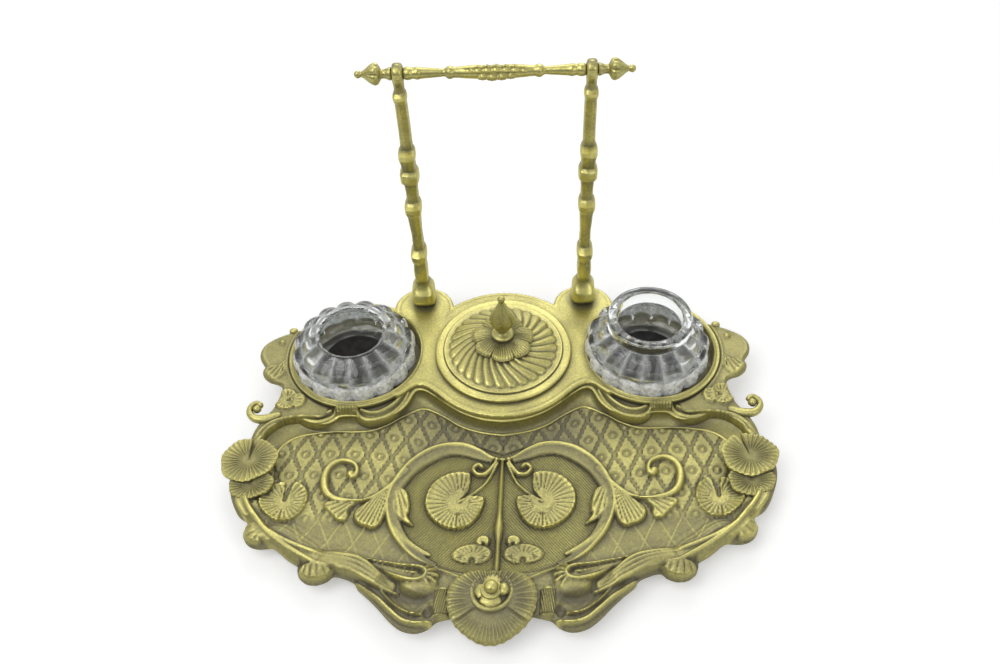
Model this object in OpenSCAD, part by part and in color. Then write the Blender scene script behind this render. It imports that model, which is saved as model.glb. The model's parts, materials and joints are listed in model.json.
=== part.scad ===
/* [Casting] */
// Height of the flat deck above the table
deck_z = 21; // [20.5:0.5:23]
// Height of the sunk tray floor above the table
floor_z = 10.5; // [10:0.5:11]
// Thickness of the tray floor
plate_t = 3; // [2.5:0.25:3.5]
// Sideways lean of the front ornament for each millimetre forward of the deck
cast_lean = 0.04; // [0:0.01:0.05]

/* [Deck] */
// Radius of the round middle of the deck
deck_r = 47; // [46.5:0.25:47.5]
// Distance of each inkwell seat from the lid's axis
seat_x = 83; // [82.5:0.25:83.5]
// Bore radius of each inkwell seat
seat_r = 35.6; // [35.4:0.1:36]
// Outer radius of the moulding round each seat
ring_r = 39.8; // [39.5:0.1:40]

/* [Lid] */
// Outer radius of the lid's flange
lid_r = 38.5; // [37.5:0.25:39]
// Number of flutes on the lid's dome
flutes = 24; // [16:1:28]
// Height of the bud knob above the leaf
knob_h = 31.5; // [28:0.5:34]

/* [Inkwells] */
// Widest radius of the glass
glass_r = 34.8; // [34:0.1:35]
// Number of gadroons round each glass
lobes = 16; // [12:1:18]
// Height of the mouth collar on the right inkwell
collar_h = 8.5; // [6:0.5:10]

/* [Pen rest] */
// Height of the crossbar's axis above the deck
bar_h = 158; // [150:1:165]
// Distance of each upright from the middle
post_x = 46.9; // [46:0.1:48]
// Distance of the uprights behind the lid's axis
post_y = 40; // [39.5:0.25:41]
// Thickness of an upright at its middle
post_t = 7.5; // [7:0.25:8]
// Radius of the crossbar's spigots
spigot_r = 1.7; // [1.5:0.1:1.8]

/* [Hidden] */
$fn = 64;
// the lid's axis lies this far behind and beside the middle of the footprint
lid_y = 60.5;
lid_x = 2.5;
seat_y = 0.5;
// running clearance round pins, studs and spigots
fit = 0.06;
stud_r = 2;
bar_z = deck_z + bar_h;
under_z = floor_z - plate_t;
brass = [0.72, 0.66, 0.33];
dull = [0.58, 0.53, 0.30];
bright = [0.80, 0.73, 0.36];

// ---- curves ----
function unit(v) = v / norm(v);
function cr(a, b, c, d, t) =
    0.5 * (2 * b + (c - a) * t + (2 * a - 5 * b + 4 * c - d) * t * t
           + (3 * b - a - 3 * c + d) * t * t * t);
// a smooth curve through the points of p, n steps from each to the next
function spline(p, n) =
    concat([for (i = [0 : len(p) - 2], k = [0 : n - 1])
                cr(p[max(i - 1, 0)], p[i], p[i + 1], p[min(i + 2, len(p) - 1)], k / n)],
           [p[len(p) - 1]]);
// the casting leans a little to one side toward the front
function lean(y) = cast_lean * min(0, y + 60);
function side(p, s) = [for (q = p) [s * q[0] + lean(q[1]), q[1]]];
function flip(p) = [for (i = [len(p) - 1 : -1 : 0]) p[i]];
// closed outline from one half, given from the back middle round to the front middle
function whole(p) = concat(side(p, 1), flip([for (i = [1 : len(p) - 2]) side(p, -1)[i]]));

module both(x, y) {
    for (s = [-1, 1])
        translate([s * x + lean(y), y, 0]) mirror([s < 0 ? 1 : 0, 0, 0]) children();
}

// round bar swept along points [x, y, z, radius], s = -1 gives its mirror twin
module scroll(pts, s = 1, n = 2, sides = 8) {
    c = spline([for (q = pts) [s * q[0] + lean(q[1]), q[1], q[2], q[3]]], n);
    m = len(c);
    rings = [for (i = [0 : m - 1])
        let (a = c[max(i - 1, 0)], b = c[min(i + 1, m - 1)],
             t = unit([b[0] - a[0], b[1] - a[1], b[2] - a[2]]),
             u = unit(cross(t, [0, 0, 1])), w = cross(u, t))
        for (k = [0 : sides - 1])
            let (g = 360 * (k + 0.5) / sides)
            [c[i][0], c[i][1], c[i][2]] + c[i][3] * (cos(g) * u + sin(g) * w)];
    walls = [for (i = [0 : m - 2], k = [0 : sides - 1])
        let (k1 = (k + 1) % sides)
        [i * sides + k, i * sides + k1, (i + 1) * sides + k1, (i + 1) * sides + k]];
    caps = [[for (k = [sides - 1 : -1 : 0]) k], [for (k = [0 : sides - 1]) (m - 1) * sides + k]];
    polyhedron(rings, concat(walls, caps), convexity = 6);
}

// ring moulding of half round section
module bead(r, w, z, a0 = 0, a = 360) {
    rotate([0, 0, a0])
        rotate_extrude(angle = a) translate([r, z]) circle(w, $fn = 24);
}

// ---- the casting's outlines, right half, measured from the lid's axis ----
rim_out = spline([[0, -30], [60, -30], [112, -30], [122, -42], [130, -50], [137, -56],
    [144, -66], [144, -80], [140, -92], [135, -100], [128, -108], [121, -115], [112, -121],
    [103, -127], [95, -132], [86, -135.5], [78, -137], [71, -140], [66, -145], [60, -151],
    [53, -158.5], [46, -164.5], [38.5, -167.5], [31, -162], [26, -158.5], [18, -158], [0, -158]], 3);
rim_in = spline([[0, -40], [60, -38], [100, -40], [112, -47.5], [122, -52.5], [130, -60],
    [134, -72], [133.5, -84], [130, -93], [124, -101], [116, -108.5], [107, -115], [96, -120],
    [84, -124], [70, -128], [55, -131.5], [42, -135], [28, -137], [14, -137], [0, -137]], 3);

module outline_plate(p, z, h) {
    translate([0, 0, z]) linear_extrude(h) polygon(whole(p));
}

module deck_shape() {
    circle(deck_r, $fn = 96);
    for (s = [-1, 1]) {
        translate([s * 47, 34.5]) circle(17.5);
        translate([s * seat_x, seat_y]) circle(ring_r, $fn = 96);
        polygon([[s * 28, -36], [s * 35, -31.5], [s * 40, -27], [s * 44, -23], [s * 48, -20.6],
                 [s * 52, -20], [s * 60, -26], [s * 60, 0], [s * 28, 0]]);
        polygon([[s * 40, 20], [s * 66, 34], [s * 60, 10]]);
    }
}

// lobed wing outside each seat, with its little bead and button
module wing() {
    translate([0, 0, deck_z - 4]) linear_extrude(4) {
        translate([122, 4]) circle(14.5);
        translate([127, 1]) circle(12.6);
        translate([123.5, -11]) circle(9.5);
    }
    translate([122.5, 18, deck_z - 1.6]) sphere(2.6, $fn = 32);
    translate([127.5, 8.5, deck_z]) sphere(2.4, $fn = 32);
    translate([125.5, -9, deck_z]) rotate([0, 0, 25]) shell_leaf(6.5, 2.2);
}

// closed ribbed leaf solid: rows of points from the heel out to the edge, with a flat underside
// r0 and r1 are its heel and edge radii, spread its angle, h its height, t its depth below z = 0
module ribbed(r0, r1, spread, ribs, h, t, lift = 0) {
    m = 2 * ribs;
    rows = [[r0, 0.35], [r0 + (r1 - r0) * 0.55, 0.75], [r0 + (r1 - r0) * 0.93, 1], [r1, 0.45]];
    n = len(rows);
    loop = spread >= 360;
    cols = loop ? m : m + 1;
    function r_at(j, i) = rows[j][0] * (1 - 0.05 * (i % 2) * j / 3);
    top = [for (j = [0 : n - 1], i = [0 : cols - 1]) let (a = -spread / 2 + spread * i / m)
        [r_at(j, i) * cos(a), r_at(j, i) * sin(a),
         h * rows[j][1] * (1 - 0.45 * (i % 2)) + lift * pow(rows[j][0] / r1, 2)]];
    low = [for (j = [0 : n - 1], i = [0 : cols - 1]) let (a = -spread / 2 + spread * i / m)
        [r_at(j, i) * cos(a), r_at(j, i) * sin(a), -t]];
    q = n * cols;
    w = [for (i = [0 : m - 1]) [i, loop ? (i + 1) % m : i + 1]];
    polyhedron(concat(top, low), concat(
        [for (j = [0 : n - 2], e = w)
            [j * cols + e[0], j * cols + e[1], (j + 1) * cols + e[1], (j + 1) * cols + e[0]]],
        [for (j = [0 : n - 2], e = w)
            [q + j * cols + e[0], q + (j + 1) * cols + e[0],
             q + (j + 1) * cols + e[1], q + j * cols + e[1]]],
        [for (e = w) [e[0], q + e[0], q + e[1], e[1]]],
        [for (e = w) let (k = (n - 1) * cols) [k + e[0], k + e[1], q + k + e[1], q + k + e[0]]],
        loop ? [] : [for (j = [0 : n - 2])
            [j * cols, (j + 1) * cols, q + (j + 1) * cols, q + j * cols]],
        loop ? [] : [for (j = [0 : n - 2]) let (k = cols - 1)
            [j * cols + k, q + j * cols + k, q + (j + 1) * cols + k, (j + 1) * cols + k]]), convexity = 6);
}

// small ribbed fan that opens toward -Y
module shell_leaf(r, w) {
    rotate([0, 0, -90]) ribbed(r * 0.12, r, 110, 5, w, 1.2);
}

// outer hook scroll at the side, an arm that curls up into an eye
module hook(s) {
    scroll([[114, -41, deck_z - 3, 2.6], [122, -41.5, deck_z - 2.6, 3], [130, -43.5, deck_z - 2.6, 2.8],
            [136, -42, deck_z - 2.2, 2.6], [138.4, -37, deck_z - 1.8, 2.4],
            [135.6, -33.4, deck_z - 1.4, 2.2], [133.4, -36, deck_z - 0.8, 1.8]], s);
}

// water-lily leaf: a ribbed round leaf with a cleft at the given angle
module lily_pad(r, h, cleft, veins = 9) {
    rotate([0, 0, cleft + 180]) ribbed(r * 0.1, r, 328, veins, h, 1.6);
    translate([0, 0, -1.6]) cylinder(h = 1.6 + h * 0.3, r = r * 0.16, $fn = 24);
}

// cast wall that falls in a hollow curve from a deck edge to the tray floor, its foot let in by dip
module cove(r0, r1, a0, a, dip) {
    foot_z = floor_z - dip;
    rise = deck_z - 1.5 - foot_z;
    rotate([0, 0, a0]) rotate_extrude(angle = a, $fn = 96) polygon(concat(
        [[r0 - 4, under_z + dip], [r1, under_z + dip]],
        [for (t = [0 : 15 : 90]) [r0 + (r1 - r0) * (1 - sin(t)), foot_z + rise * (1 - cos(t))]],
        [[r0 - 4, deck_z - 1.5]]));
}

// ---- base casting ----
module base_body() {
    outline_plate(rim_in, under_z, plate_t);
    difference() {
        outline_plate(rim_out, under_z + 1.5, 5);
        outline_plate(rim_in, under_z - 1, 8);
    }
    translate([0, 0, deck_z - 4]) linear_extrude(4) deck_shape();
    cove(deck_r + 0.4, deck_r + 4, -152, 124, 0.9);
    for (s = [-1, 1]) translate([s * seat_x, seat_y, 0]) {
        translate([0, 0, under_z]) cylinder(h = deck_z - under_z - 2, r = ring_r - 1.3, $fn = 96);
        cove(ring_r - 1, ring_r + 8.7, s > 0 ? -176 : -130, 126, 0.4);
        bead(ring_r - 1.1, 1.1, deck_z);
        bead(seat_r + 0.9, 0.9, deck_z);
    }
    for (s = [-1, 1]) mirror([s < 0 ? 1 : 0, 0, 0]) {
        wing();
        translate([0, 0, floor_z]) linear_extrude(deck_z - 3 - floor_z)
            polygon([[104, -30], [118, -22], [123.5, -28], [126.5, -38], [132, -42], [134, -50],
                     [138, -58], [130, -62], [122, -54], [110, -48.5], [98, -46]]);
        translate([118.5, -38, deck_z - 1.4]) shell_leaf(5, 1.9);
        translate([111.5, -36.5, deck_z - 1.2]) sphere(2.2, $fn = 32);
    }
    bead(deck_r - 0.2, 0.8, deck_z - 0.4, -128, 76);
}

// bright strap and the two crescent shells under the front of each seat
module seat_front(s) {
    translate([s * seat_x, seat_y, 0]) mirror([s < 0 ? 1 : 0, 0, 0]) {
        rotate([0, 0, -97]) rotate_extrude(angle = 17) polygon([
            [ring_r - 3, deck_z - 6.4], [ring_r + 2.6, deck_z - 6.4], [ring_r + 3, deck_z - 1.5],
            [ring_r + 1.4, deck_z + 0.6], [ring_r - 1, deck_z + 1]]);
        translate([0, 0, deck_z - 7]) for (a = [-118, -62]) rotate([0, 0, a]) translate([ring_r - 2, 0, 0])
            rotate([0, 0, -78]) rotate_extrude(angle = 156) translate([11.5, 0]) circle(1.5, $fn = 20);
    }
}

module tray_ornament(s) {
    // large C-scroll that frames the lily leaves
    scroll([[1.5, -67, floor_z + 1, 2], [7, -63, floor_z + 1, 2.3], [15, -59, floor_z + 1, 2.5],
            [25, -58, floor_z + 1, 2.7], [36, -61, floor_z + 1, 2.9], [46, -69, floor_z + 1, 3],
            [54, -80, floor_z + 1, 2.8], [57, -92, floor_z + 1, 2.6], [55, -104, floor_z + 1, 2.6],
            [49, -115, floor_z + 1, 2.7], [41, -124, floor_z + 1, 2.6], [30, -133, floor_z + 1, 2]], s);
    // volute beside it
    scroll([[57, -84, floor_z + 0.6, 2.2], [62, -93, floor_z + 0.8, 2.6], [72, -97, floor_z + 0.8, 2.8],
            [84, -95, floor_z + 0.8, 2.8], [92, -86, floor_z + 0.8, 2.6], [93, -75, floor_z + 0.8, 2.4],
            [87, -66, floor_z + 0.8, 2.2], [77, -64.5, floor_z + 0.8, 2], [71, -70, floor_z + 0.8, 1.8],
            [74, -77, floor_z + 0.8, 1.6], [80, -76, floor_z + 0.8, 1.4]], s);
}

module front_ornament(s) {
    // acanthus leaf that rolls into a scroll head
    scroll([[104, -121, floor_z + 3.5, 2.4], [92, -126, floor_z + 3.8, 3.4], [80, -129.5, floor_z + 4.2, 4],
            [68, -134, floor_z + 4.4, 4.6], [56, -138, floor_z + 4.6, 5.2], [46, -139.5, floor_z + 5, 6],
            [38, -140, floor_z + 5, 6.2], [31, -141.5, floor_z + 4.4, 5]], s);
    translate([s * 33.5 + lean(-140), -140.4, floor_z + 4.6]) sphere(5.6, $fn = 40);
    // long outer C-scroll, its volute turned in at the front
    scroll([[82, -137, floor_z + 2, 2.2], [72, -141.5, floor_z + 2, 3],
            [63, -149, floor_z + 1.8, 3.4],
            [55, -157, floor_z + 1.4, 3.6], [46, -163.4, floor_z + 1.2, 3.8],
            [38.5, -164.6, floor_z + 1.2, 3.4], [34, -160.6, floor_z + 1.6, 2.8]], s);
    // twin ridges along the side rim
    scroll([[138, -93, floor_z + 4.5, 2], [133, -101, floor_z + 4, 2.2],
            [125, -109.5, floor_z + 3.8, 2.2],
            [115, -117, floor_z + 3.6, 2.2], [104, -123.5, floor_z + 3.4, 2.2],
            [92, -129, floor_z + 3, 2]], s);
    scroll([[128, -95, floor_z + 4, 2], [122, -104, floor_z + 4, 2.2], [114, -111, floor_z + 4, 2.2],
            [104, -117, floor_z + 3.8, 2.2], [93, -121.5, floor_z + 3.6, 2]], s);
    // ridge that carries the back corner of the tray round to the lily leaves
    scroll([[100, -45, deck_z - 6, 1.8], [110, -45.5, deck_z - 4.4, 2], [120, -46.5, deck_z - 3.6, 2.2],
            [128, -49.5, deck_z - 3.6, 2.2], [134, -55, deck_z - 3.8, 2.2], [137, -60, deck_z - 4, 2]], s);
}

module front_lily() {
    y = -152;
    translate([lean(y) - 1.5, y, floor_z + 3.2]) rotate([-9, 0, 0]) {
        difference() {
            union() {
                rotate_extrude() polygon([[0, -4.5], [17, -4.5], [20.5, -2.6], [21.3, 0.4], [19.6, 1.4],
                                          [12, 1.6], [8, 2.2], [0, 2.2]]);
                ribbed(7, 21.2, 360, 20, 2.6, 1);
            }
            translate([-30, 18, -9]) cube([60, 12, 20]);
        }
        // boss with its seed ball and four sepals
        translate([0, 5, 1]) {
            rotate_extrude() polygon([[0, 0], [9.4, 0], [9.6, 1.6], [8.6, 2.6], [7, 2.8], [6.6, 4.6],
                                      [5, 6.4], [2.6, 7.2], [0, 7.4]]);
            translate([0, 0, 8]) sphere(2.6, $fn = 32);
            for (a = [45 : 90 : 315]) rotate([0, 0, a]) translate([6.4, 0, 2.6]) sphere(2.8, $fn = 32);
        }
    }
}

module base_casting() color(dull) translate([lid_x, lid_y, 0]) difference() {
    union() {
        base_body();
        for (s = [-1, 1]) {
            hook(s);
            seat_front(s);
            tray_ornament(s);
            front_ornament(s);
        }
        front_lily();
        // water-lily leaves along the rim and on the tray floor
        for (p = [[-1, -134.6, -68.2], [1, 129, -69.6]])
            translate([p[1], p[2], deck_z - 5.5]) mirror([p[0] < 0 ? 1 : 0, 0, 0])
                rotate([5, -4, 0]) lily_pad(15.2, 2, 120, 11);
        for (p = [[-1, -131, -86], [1, 127, -88]])
            translate([p[1], p[2], deck_z - 7]) mirror([p[0] < 0 ? 1 : 0, 0, 0])
                rotate([4, -3, 0]) lily_pad(12.6, 1.6, 80, 9);
        both(111, -93.5) translate([0, 0, floor_z + 1.4]) lily_pad(11.5, 1.8, 100, 9);
        both(21, -92.5) translate([0, 0, floor_z + 1.4]) rotate([3, 0, 0]) lily_pad(16, 2, 125, 13);
        both(15, -124.5) translate([0, 0, floor_z + 0.4]) lily_pad(9, 1, 150, 7);
        both(8, -116.5) translate([0, 0, floor_z + 1]) sphere(2.6, $fn = 32);
        // fan leaves beside the volutes
        both(67, -96) translate([0, 0, floor_z + 0.6]) rotate([0, 0, -8]) shell_leaf(14, 4);
        both(87, -95) translate([0, 0, floor_z + 0.4]) rotate([0, 0, 12]) shell_leaf(10, 3);
        both(51, -90) translate([0, 0, floor_z + 0.4]) rotate([0, 0, -4]) shell_leaf(15, 2.6);
        // leaf lobes that break the outline
        both(122, -113) translate([0, 0, floor_z + 0.4]) sphere(6.2, $fn = 40);
        both(89, -133.5) translate([0, 0, floor_z + 0.6]) sphere(6.4, $fn = 40);
        // stem between the two lily leaves, with its long bud
        translate([lean(-100), -64, floor_z + 0.8]) rotate([90, 0, -2]) rotate_extrude() polygon(
            [[0, 0], [2.4, 0], [2.2, 12], [1.5, 18], [1.5, 36], [2.6, 42], [2.8, 47], [1.7, 54],
             [1.6, 75], [0, 75]]);
        for (s = [-1, 1]) {
            translate([s * post_x, post_y, deck_z - 5]) cylinder(h = 5, r = 6);
            translate([s * 95, 18, 6.5]) cylinder(h = 6, r = 8);
            translate([s * 64 + lean(-118), -118, 6]) cylinder(h = 3, r = 8);
        }
    }
    // everything below the underside of the casting is open
    translate([-160, -190, -10]) cube([320, 260, 10 + 6]);
    // inkwell seats
    for (s = [-1, 1])
        translate([s * seat_x, seat_y, floor_z]) cylinder(h = 40, r = seat_r, $fn = 96);
    // opening for the stamp cup, with the step its flange lies in
    translate([0, 0, -1]) cylinder(h = 40, r = 34, $fn = 96);
    translate([0, 0, deck_z - 1]) cylinder(h = 10, r = 36.6, $fn = 96);
    for (s = [-1, 1]) {
        // holes for the screws that hold the uprights
        translate([s * post_x, post_y, 0]) cylinder(h = 40, r = stud_r + 0.1, $fn = 32);
        // sockets for the feet
        translate([s * 95, 18, 0]) cylinder(h = 9.5, r = stud_r + fit, $fn = 32);
        translate([s * 64 + lean(-118), -118, 0]) cylinder(h = 9, r = stud_r + fit, $fn = 32);
    }
}

module stamp_cup() color(dull) translate([lid_x, lid_y, 0]) rotate_extrude($fn = 96)
    polygon([[0, 4.5], [30, 4.5], [32.8, 6], [33.9, 9], [33.9, deck_z - 1], [36.5, deck_z - 1],
             [36.5, deck_z], [32.7, deck_z], [32.7, 9.4], [31.8, 7], [29.6, 5.7], [0, 5.7]]);

// ---- lid ----
function dome_z(r) = deck_z + 11.2 - 7.4 * pow(r / 31, 1.8);
nut_seat = dome_z(0) - 2.4;

module lid_plate() color(brass) translate([lid_x, lid_y, 0]) difference() {
    union() {
        rotate_extrude($fn = 96) polygon(concat(
            [[lid_r - 0.7, deck_z], [lid_r, deck_z + 0.7], [lid_r, deck_z + 1.3],
             [lid_r - 0.8, deck_z + 1.9],
             [34.4, deck_z + 3.2], [33.8, deck_z + 4.6], [32.4, deck_z + 5], [31.4, deck_z + 4.4]],
            [for (r = [30.6 : -3.4 : 3.4]) [r, dome_z(r)]], [[0, dome_z(0)]],
            [[0, nut_seat], [5.2, nut_seat], [5.6, dome_z(5.6) - 1.8]],
            [for (r = [6.8 : 3.4 : 27.2]) [r, dome_z(r) - 1.8]],
            [[30.4, deck_z + 0.6], [30.4, deck_z - 3.5], [32.3, deck_z - 3.5], [32.3, deck_z]]));
    }
    for (i = [0 : flutes - 1])
        rotate([0, 0, i * 360 / flutes]) translate([13, 0, dome_z(13) + 1.1]) rotate([0, 106.5, 9])
            cylinder(h = 17.6, r1 = 1.2, r2 = 1.9, $fn = 20);
    translate([0, 0, deck_z]) cylinder(h = 20, r = stud_r + 0.1, $fn = 32);
}

// ruffled leaf clamped under the knob: a disc whose edge waves up and down in eight folds
module lid_leaf() color(bright) translate([lid_x, lid_y, 0]) difference() {
    seg = 64;
    rows = [2.2, 6, 9.5, 13, 16, 17.6];
    z0 = dome_z(0) + 0.02;
    pts = concat(
        [for (r = rows, i = [0 : seg - 1]) let (a = i * 360 / seg, f = pow(max(0, (r - 6) / 11.6), 1.6))
            [r * (1 + 0.05 * f * cos(8 * a + 40)) * cos(a), r * (1 + 0.05 * f * cos(8 * a + 40)) * sin(a),
             z0 + 1.2 + f * (-0.2 + 1.5 * cos(8 * a))]],
        [for (r = rows, i = [0 : seg - 1]) let (a = i * 360 / seg, f = pow(max(0, (r - 6) / 11.6), 1.6))
            [r * (1 + 0.05 * f * cos(8 * a + 40)) * cos(a), r * (1 + 0.05 * f * cos(8 * a + 40)) * sin(a),
             z0 + f * (-0.2 + 1.5 * cos(8 * a))]]);
    n = len(rows);
    top = [for (j = [0 : n - 2], i = [0 : seg - 1]) let (k = (i + 1) % seg)
        [j * seg + i, j * seg + k, (j + 1) * seg + k, (j + 1) * seg + i]];
    bot = [for (j = [n : 2 * n - 2], i = [0 : seg - 1]) let (k = (i + 1) % seg)
        [j * seg + i, (j + 1) * seg + i, (j + 1) * seg + k, j * seg + k]];
    outer = [for (i = [0 : seg - 1]) let (k = (i + 1) % seg)
        [(n - 1) * seg + i, (n - 1) * seg + k, (2 * n - 1) * seg + k, (2 * n - 1) * seg + i]];
    inner = [for (i = [0 : seg - 1]) let (k = (i + 1) % seg) [i, n * seg + i, n * seg + k, k]];
    polyhedron(pts, concat(top, bot, outer, inner), convexity = 4);
    translate([0, 0, deck_z]) cylinder(h = 20, r = stud_r + 0.3, $fn = 32);
}

module lid_knob() color(brass) translate([lid_x, lid_y, dome_z(0) + 1.25]) {
    k = knob_h / 31.5;
    rotate_extrude() polygon([[0, 0], [5.4, 0], [7.2, 1], [7.4, 2.2], [6.2, 3], [4.2, 3.2], [2.8, 4.4 * k],
        [2.6, 6.4 * k], [3.6, 8.2 * k], [5.4, 11 * k], [6.2, 14 * k], [5.9, 17 * k], [4.6, 20.4 * k],
        [2.8, 24 * k], [1.7, 26.8 * k], [1.5, 28 * k], [0, 28 * k]]);
    // four petals folded round the bud
    for (a = [20 : 90 : 290]) rotate([0, 0, a]) translate([2, 0, 14 * k]) sphere(5, $fn = 40);
    translate([0, 0, 29.4 * k]) sphere(2.1, $fn = 32);
    translate([0, 0, -8]) cylinder(h = 9, r = stud_r, $fn = 32);
}

module lid_nut() color(dull) translate([lid_x, lid_y, nut_seat - 3]) difference() {
    cylinder(h = 3, r = 4.4, $fn = 6);
    translate([0, 0, -1]) cylinder(h = 5, r = stud_r + fit, $fn = 32);
}

// ---- inkwells ----
// radius of the glass at height h above its base
function melon(h) = lookup(h, [[0, 27.5], [2, 30], [5, 31.6], [9, 32.4], [11.5, 32.9],
    [13.5, 34.2], [15.5, glass_r], [18, 34.4], [21, 32.6], [24, 29.6], [26.5, 26.2],
    [28.5, 23.2], [29.5, 22]]);
// how far the gadroons stand out there
function swell(h) = lookup(h, [[0, 0.2], [2, 0.6], [5, 1.2], [15, 2.2], [24, 1.8],
    [28, 0.7], [29.5, 0]]);

module inkwell(top, mouth_r, collar_r) {
    seg = lobes * 4;
    hs = [0, 2, 5, 9, 11.5, 13.5, 15.5, 18, 21, 24, 26.5, 28.5, 29.5];
    n = len(hs);
    pts = [for (h = hs, i = [0 : seg - 1]) let (a = i * 360 / seg,
            r = melon(h) - swell(h) * (1 - abs(sin(lobes * a / 2)))) [r * cos(a), r * sin(a), h]];
    walls = [for (j = [0 : n - 2], i = [0 : seg - 1]) let (k = (i + 1) % seg)
        [j * seg + i, (j + 1) * seg + i, (j + 1) * seg + k, j * seg + k]];
    caps = [[for (i = [0 : seg - 1]) i], [for (i = [seg - 1 : -1 : 0]) (n - 1) * seg + i]];
    difference() {
        union() {
            polyhedron(pts, concat(walls, caps), convexity = 4);
            if (top > 30) translate([0, 0, 28]) rotate_extrude($fn = 96) polygon([[mouth_r - 1, 0],
                [collar_r - 1, 0], [collar_r, 1.4], [collar_r, top - 29.2], [collar_r - 1.2, top - 28],
                [mouth_r + 1, top - 28], [mouth_r - 1, top - 29.6]]);
        }
        // the well itself
        rotate_extrude($fn = 96) polygon([[0, 5.5], [20, 6], [25, 8.5], [27.6, 13], [27.4, 18], [24.5, 23],
            [mouth_r + 1, 26.4], [mouth_r, 28.5], [mouth_r, 60], [0, 60]]);
    }
}

module left_inkwell() color([0.82, 0.86, 0.84, 0.6])
    translate([lid_x - seat_x - 1.4, lid_y - 1, floor_z]) inkwell(29.5, 17.5, 22);

module right_inkwell() color([0.82, 0.86, 0.84, 0.6])
    translate([lid_x + seat_x - 1.9, lid_y - 0.7, floor_z]) inkwell(29.5 + collar_h, 18, 22.8);

// ---- pen rest ----
// side view of an upright: a scrolled bracket with three forward hooks for pens
module post_side() {
    difference() {
        union() {
            polygon([[-3.4, 0], [6, 0], [8.5, 3], [9, 10], [6.5, 16], [5.4, 24], [6.6, 34], [7.6, 44],
                [6, 52], [4.6, 62], [5.4, 72], [6.6, 80], [6, 90], [4.8, 100], [5.2, 112], [5.6, 124],
                [4.4, 136], [3, 148], [2.6, 158], [-2.2, 158], [-2.4, 149], [-3.4, 146.5], [-5, 147.6],
                [-5.2, 145.2], [-3.8, 142], [-3, 136], [-1.8, 124], [-1.4, 114], [-2.6, 111], [-6.2, 112.6],
                [-6.4, 109.4], [-5, 104], [-3.2, 100], [-5.4, 98], [-5.6, 94], [-3, 91], [-2, 84],
                [-1.6, 78], [-3, 75], [-6.6, 77], [-6.8, 73.6], [-5, 68], [-3.6, 62], [-2, 54], [-1.6, 44],
                [-3, 40], [-6.6, 42], [-6.8, 38.4], [-5.2, 34], [-5.6, 28], [-4.6, 22], [-3, 18],
                [-4.6, 14], [-6, 10]]);
            translate([0, bar_h]) circle(4.9, $fn = 48);
            translate([-1.6, 7.2]) circle(7, $fn = 48);
            translate([2.4, 97]) circle(5.2, $fn = 48);
        }
        translate([-20, -10]) square([40, 10]);
        // open eyes of the C-scrolls
        translate([3, 44]) circle(2, $fn = 32);
        translate([2.2, 80]) circle(1.9, $fn = 32);
        translate([1.8, 118]) circle(1.8, $fn = 32);
    }
}

// half its front view: broad foot, slim stem, swelling knot, thin head
post_front = [[6.5, 0], [6.8, 3], [6.6, 11], [5.4, 15], [3.6, 18], [post_t / 2, 30], [4.2, 38],
    [post_t / 2, 44], [3.6, 60], [4, 70], [4.1, 76], [3.7, 82], [4.4, 90], [4.9, 97], [4.4, 103],
    [post_t / 2, 110], [3.7, 122], [3.4, 134], [3, 142], [2.5, 148], [2.6, 153], [2.9, bar_h],
    [2.9, bar_h + 6]];

module upright(s) color(brass) translate([lid_x + s * post_x, lid_y + post_y, deck_z]) difference() {
    intersection() {
        translate([-10, 0, 0]) rotate([90, 0, 90]) linear_extrude(20) post_side();
        translate([0, 30, 0]) rotate([90, 0, 0]) linear_extrude(60)
            polygon(concat(post_front, [for (q = flip(post_front)) [-q[0], q[1]]]));
    }
    translate([-10, 0, bar_h]) rotate([0, 90, 0]) cylinder(h = 20, r = spigot_r + fit, $fn = 32);
    translate([0, 0, -1]) cylinder(h = 11, r = stud_r + fit, $fn = 32);
}

module upright_screw(s) color(dull)
    translate([lid_x + s * post_x, lid_y + post_y, deck_z - 5]) {
    translate([0, 0, -3.4]) difference() {
        cylinder(h = 2.4, r = 4);
        translate([-0.6, -5, -1]) cube([1.2, 10, 1.8]);
    }
    translate([0, 0, -1.2]) cylinder(h = 14, r = stud_r, $fn = 32);
}

module upright_washer(s) color(dull)
    translate([lid_x + s * post_x, lid_y + post_y, deck_z - 6]) difference() {
    cylinder(h = 1, r = 5);
    translate([0, 0, -1]) cylinder(h = 3, r = stud_r + 0.1, $fn = 32);
}

// bar turned with a bead by each eye, a waisted stem and a cluster of flowers in the middle
module crossbar() color(brass) translate([lid_x, lid_y + post_y, bar_z]) {
    e = post_x - 2.95;
    rotate([0, 90, 0]) {
        translate([0, 0, -post_x - 6]) cylinder(h = 2 * post_x + 12, r = spigot_r, $fn = 32);
        for (s = [0, 1]) mirror([0, 0, s]) rotate_extrude($fn = 40) polygon([[0, 0], [2.4, 0], [2.3, 12],
            [2.1, 19.5], [2.9, 21], [2.9, 22.6], [2, 24], [1.8, 31], [2.1, e - 8], [2.7, e - 6.4],
            [2.3, e - 5], [2.4, e - 3.4], [3.1, e - 2.2], [3.1, e - 0.8], [2.6, e], [0, e]]);
    }
    for (i = [-2 : 2])
        translate([i * 2.7, 0, 0]) rotate([i * 40, 0, 0]) {
            translate([0, -1.3, 0.6]) sphere(2.4 - 0.2 * abs(i), $fn = 28);
            translate([0, 1.3, -0.6]) sphere(2.2 - 0.2 * abs(i), $fn = 28);
        }
}

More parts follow.
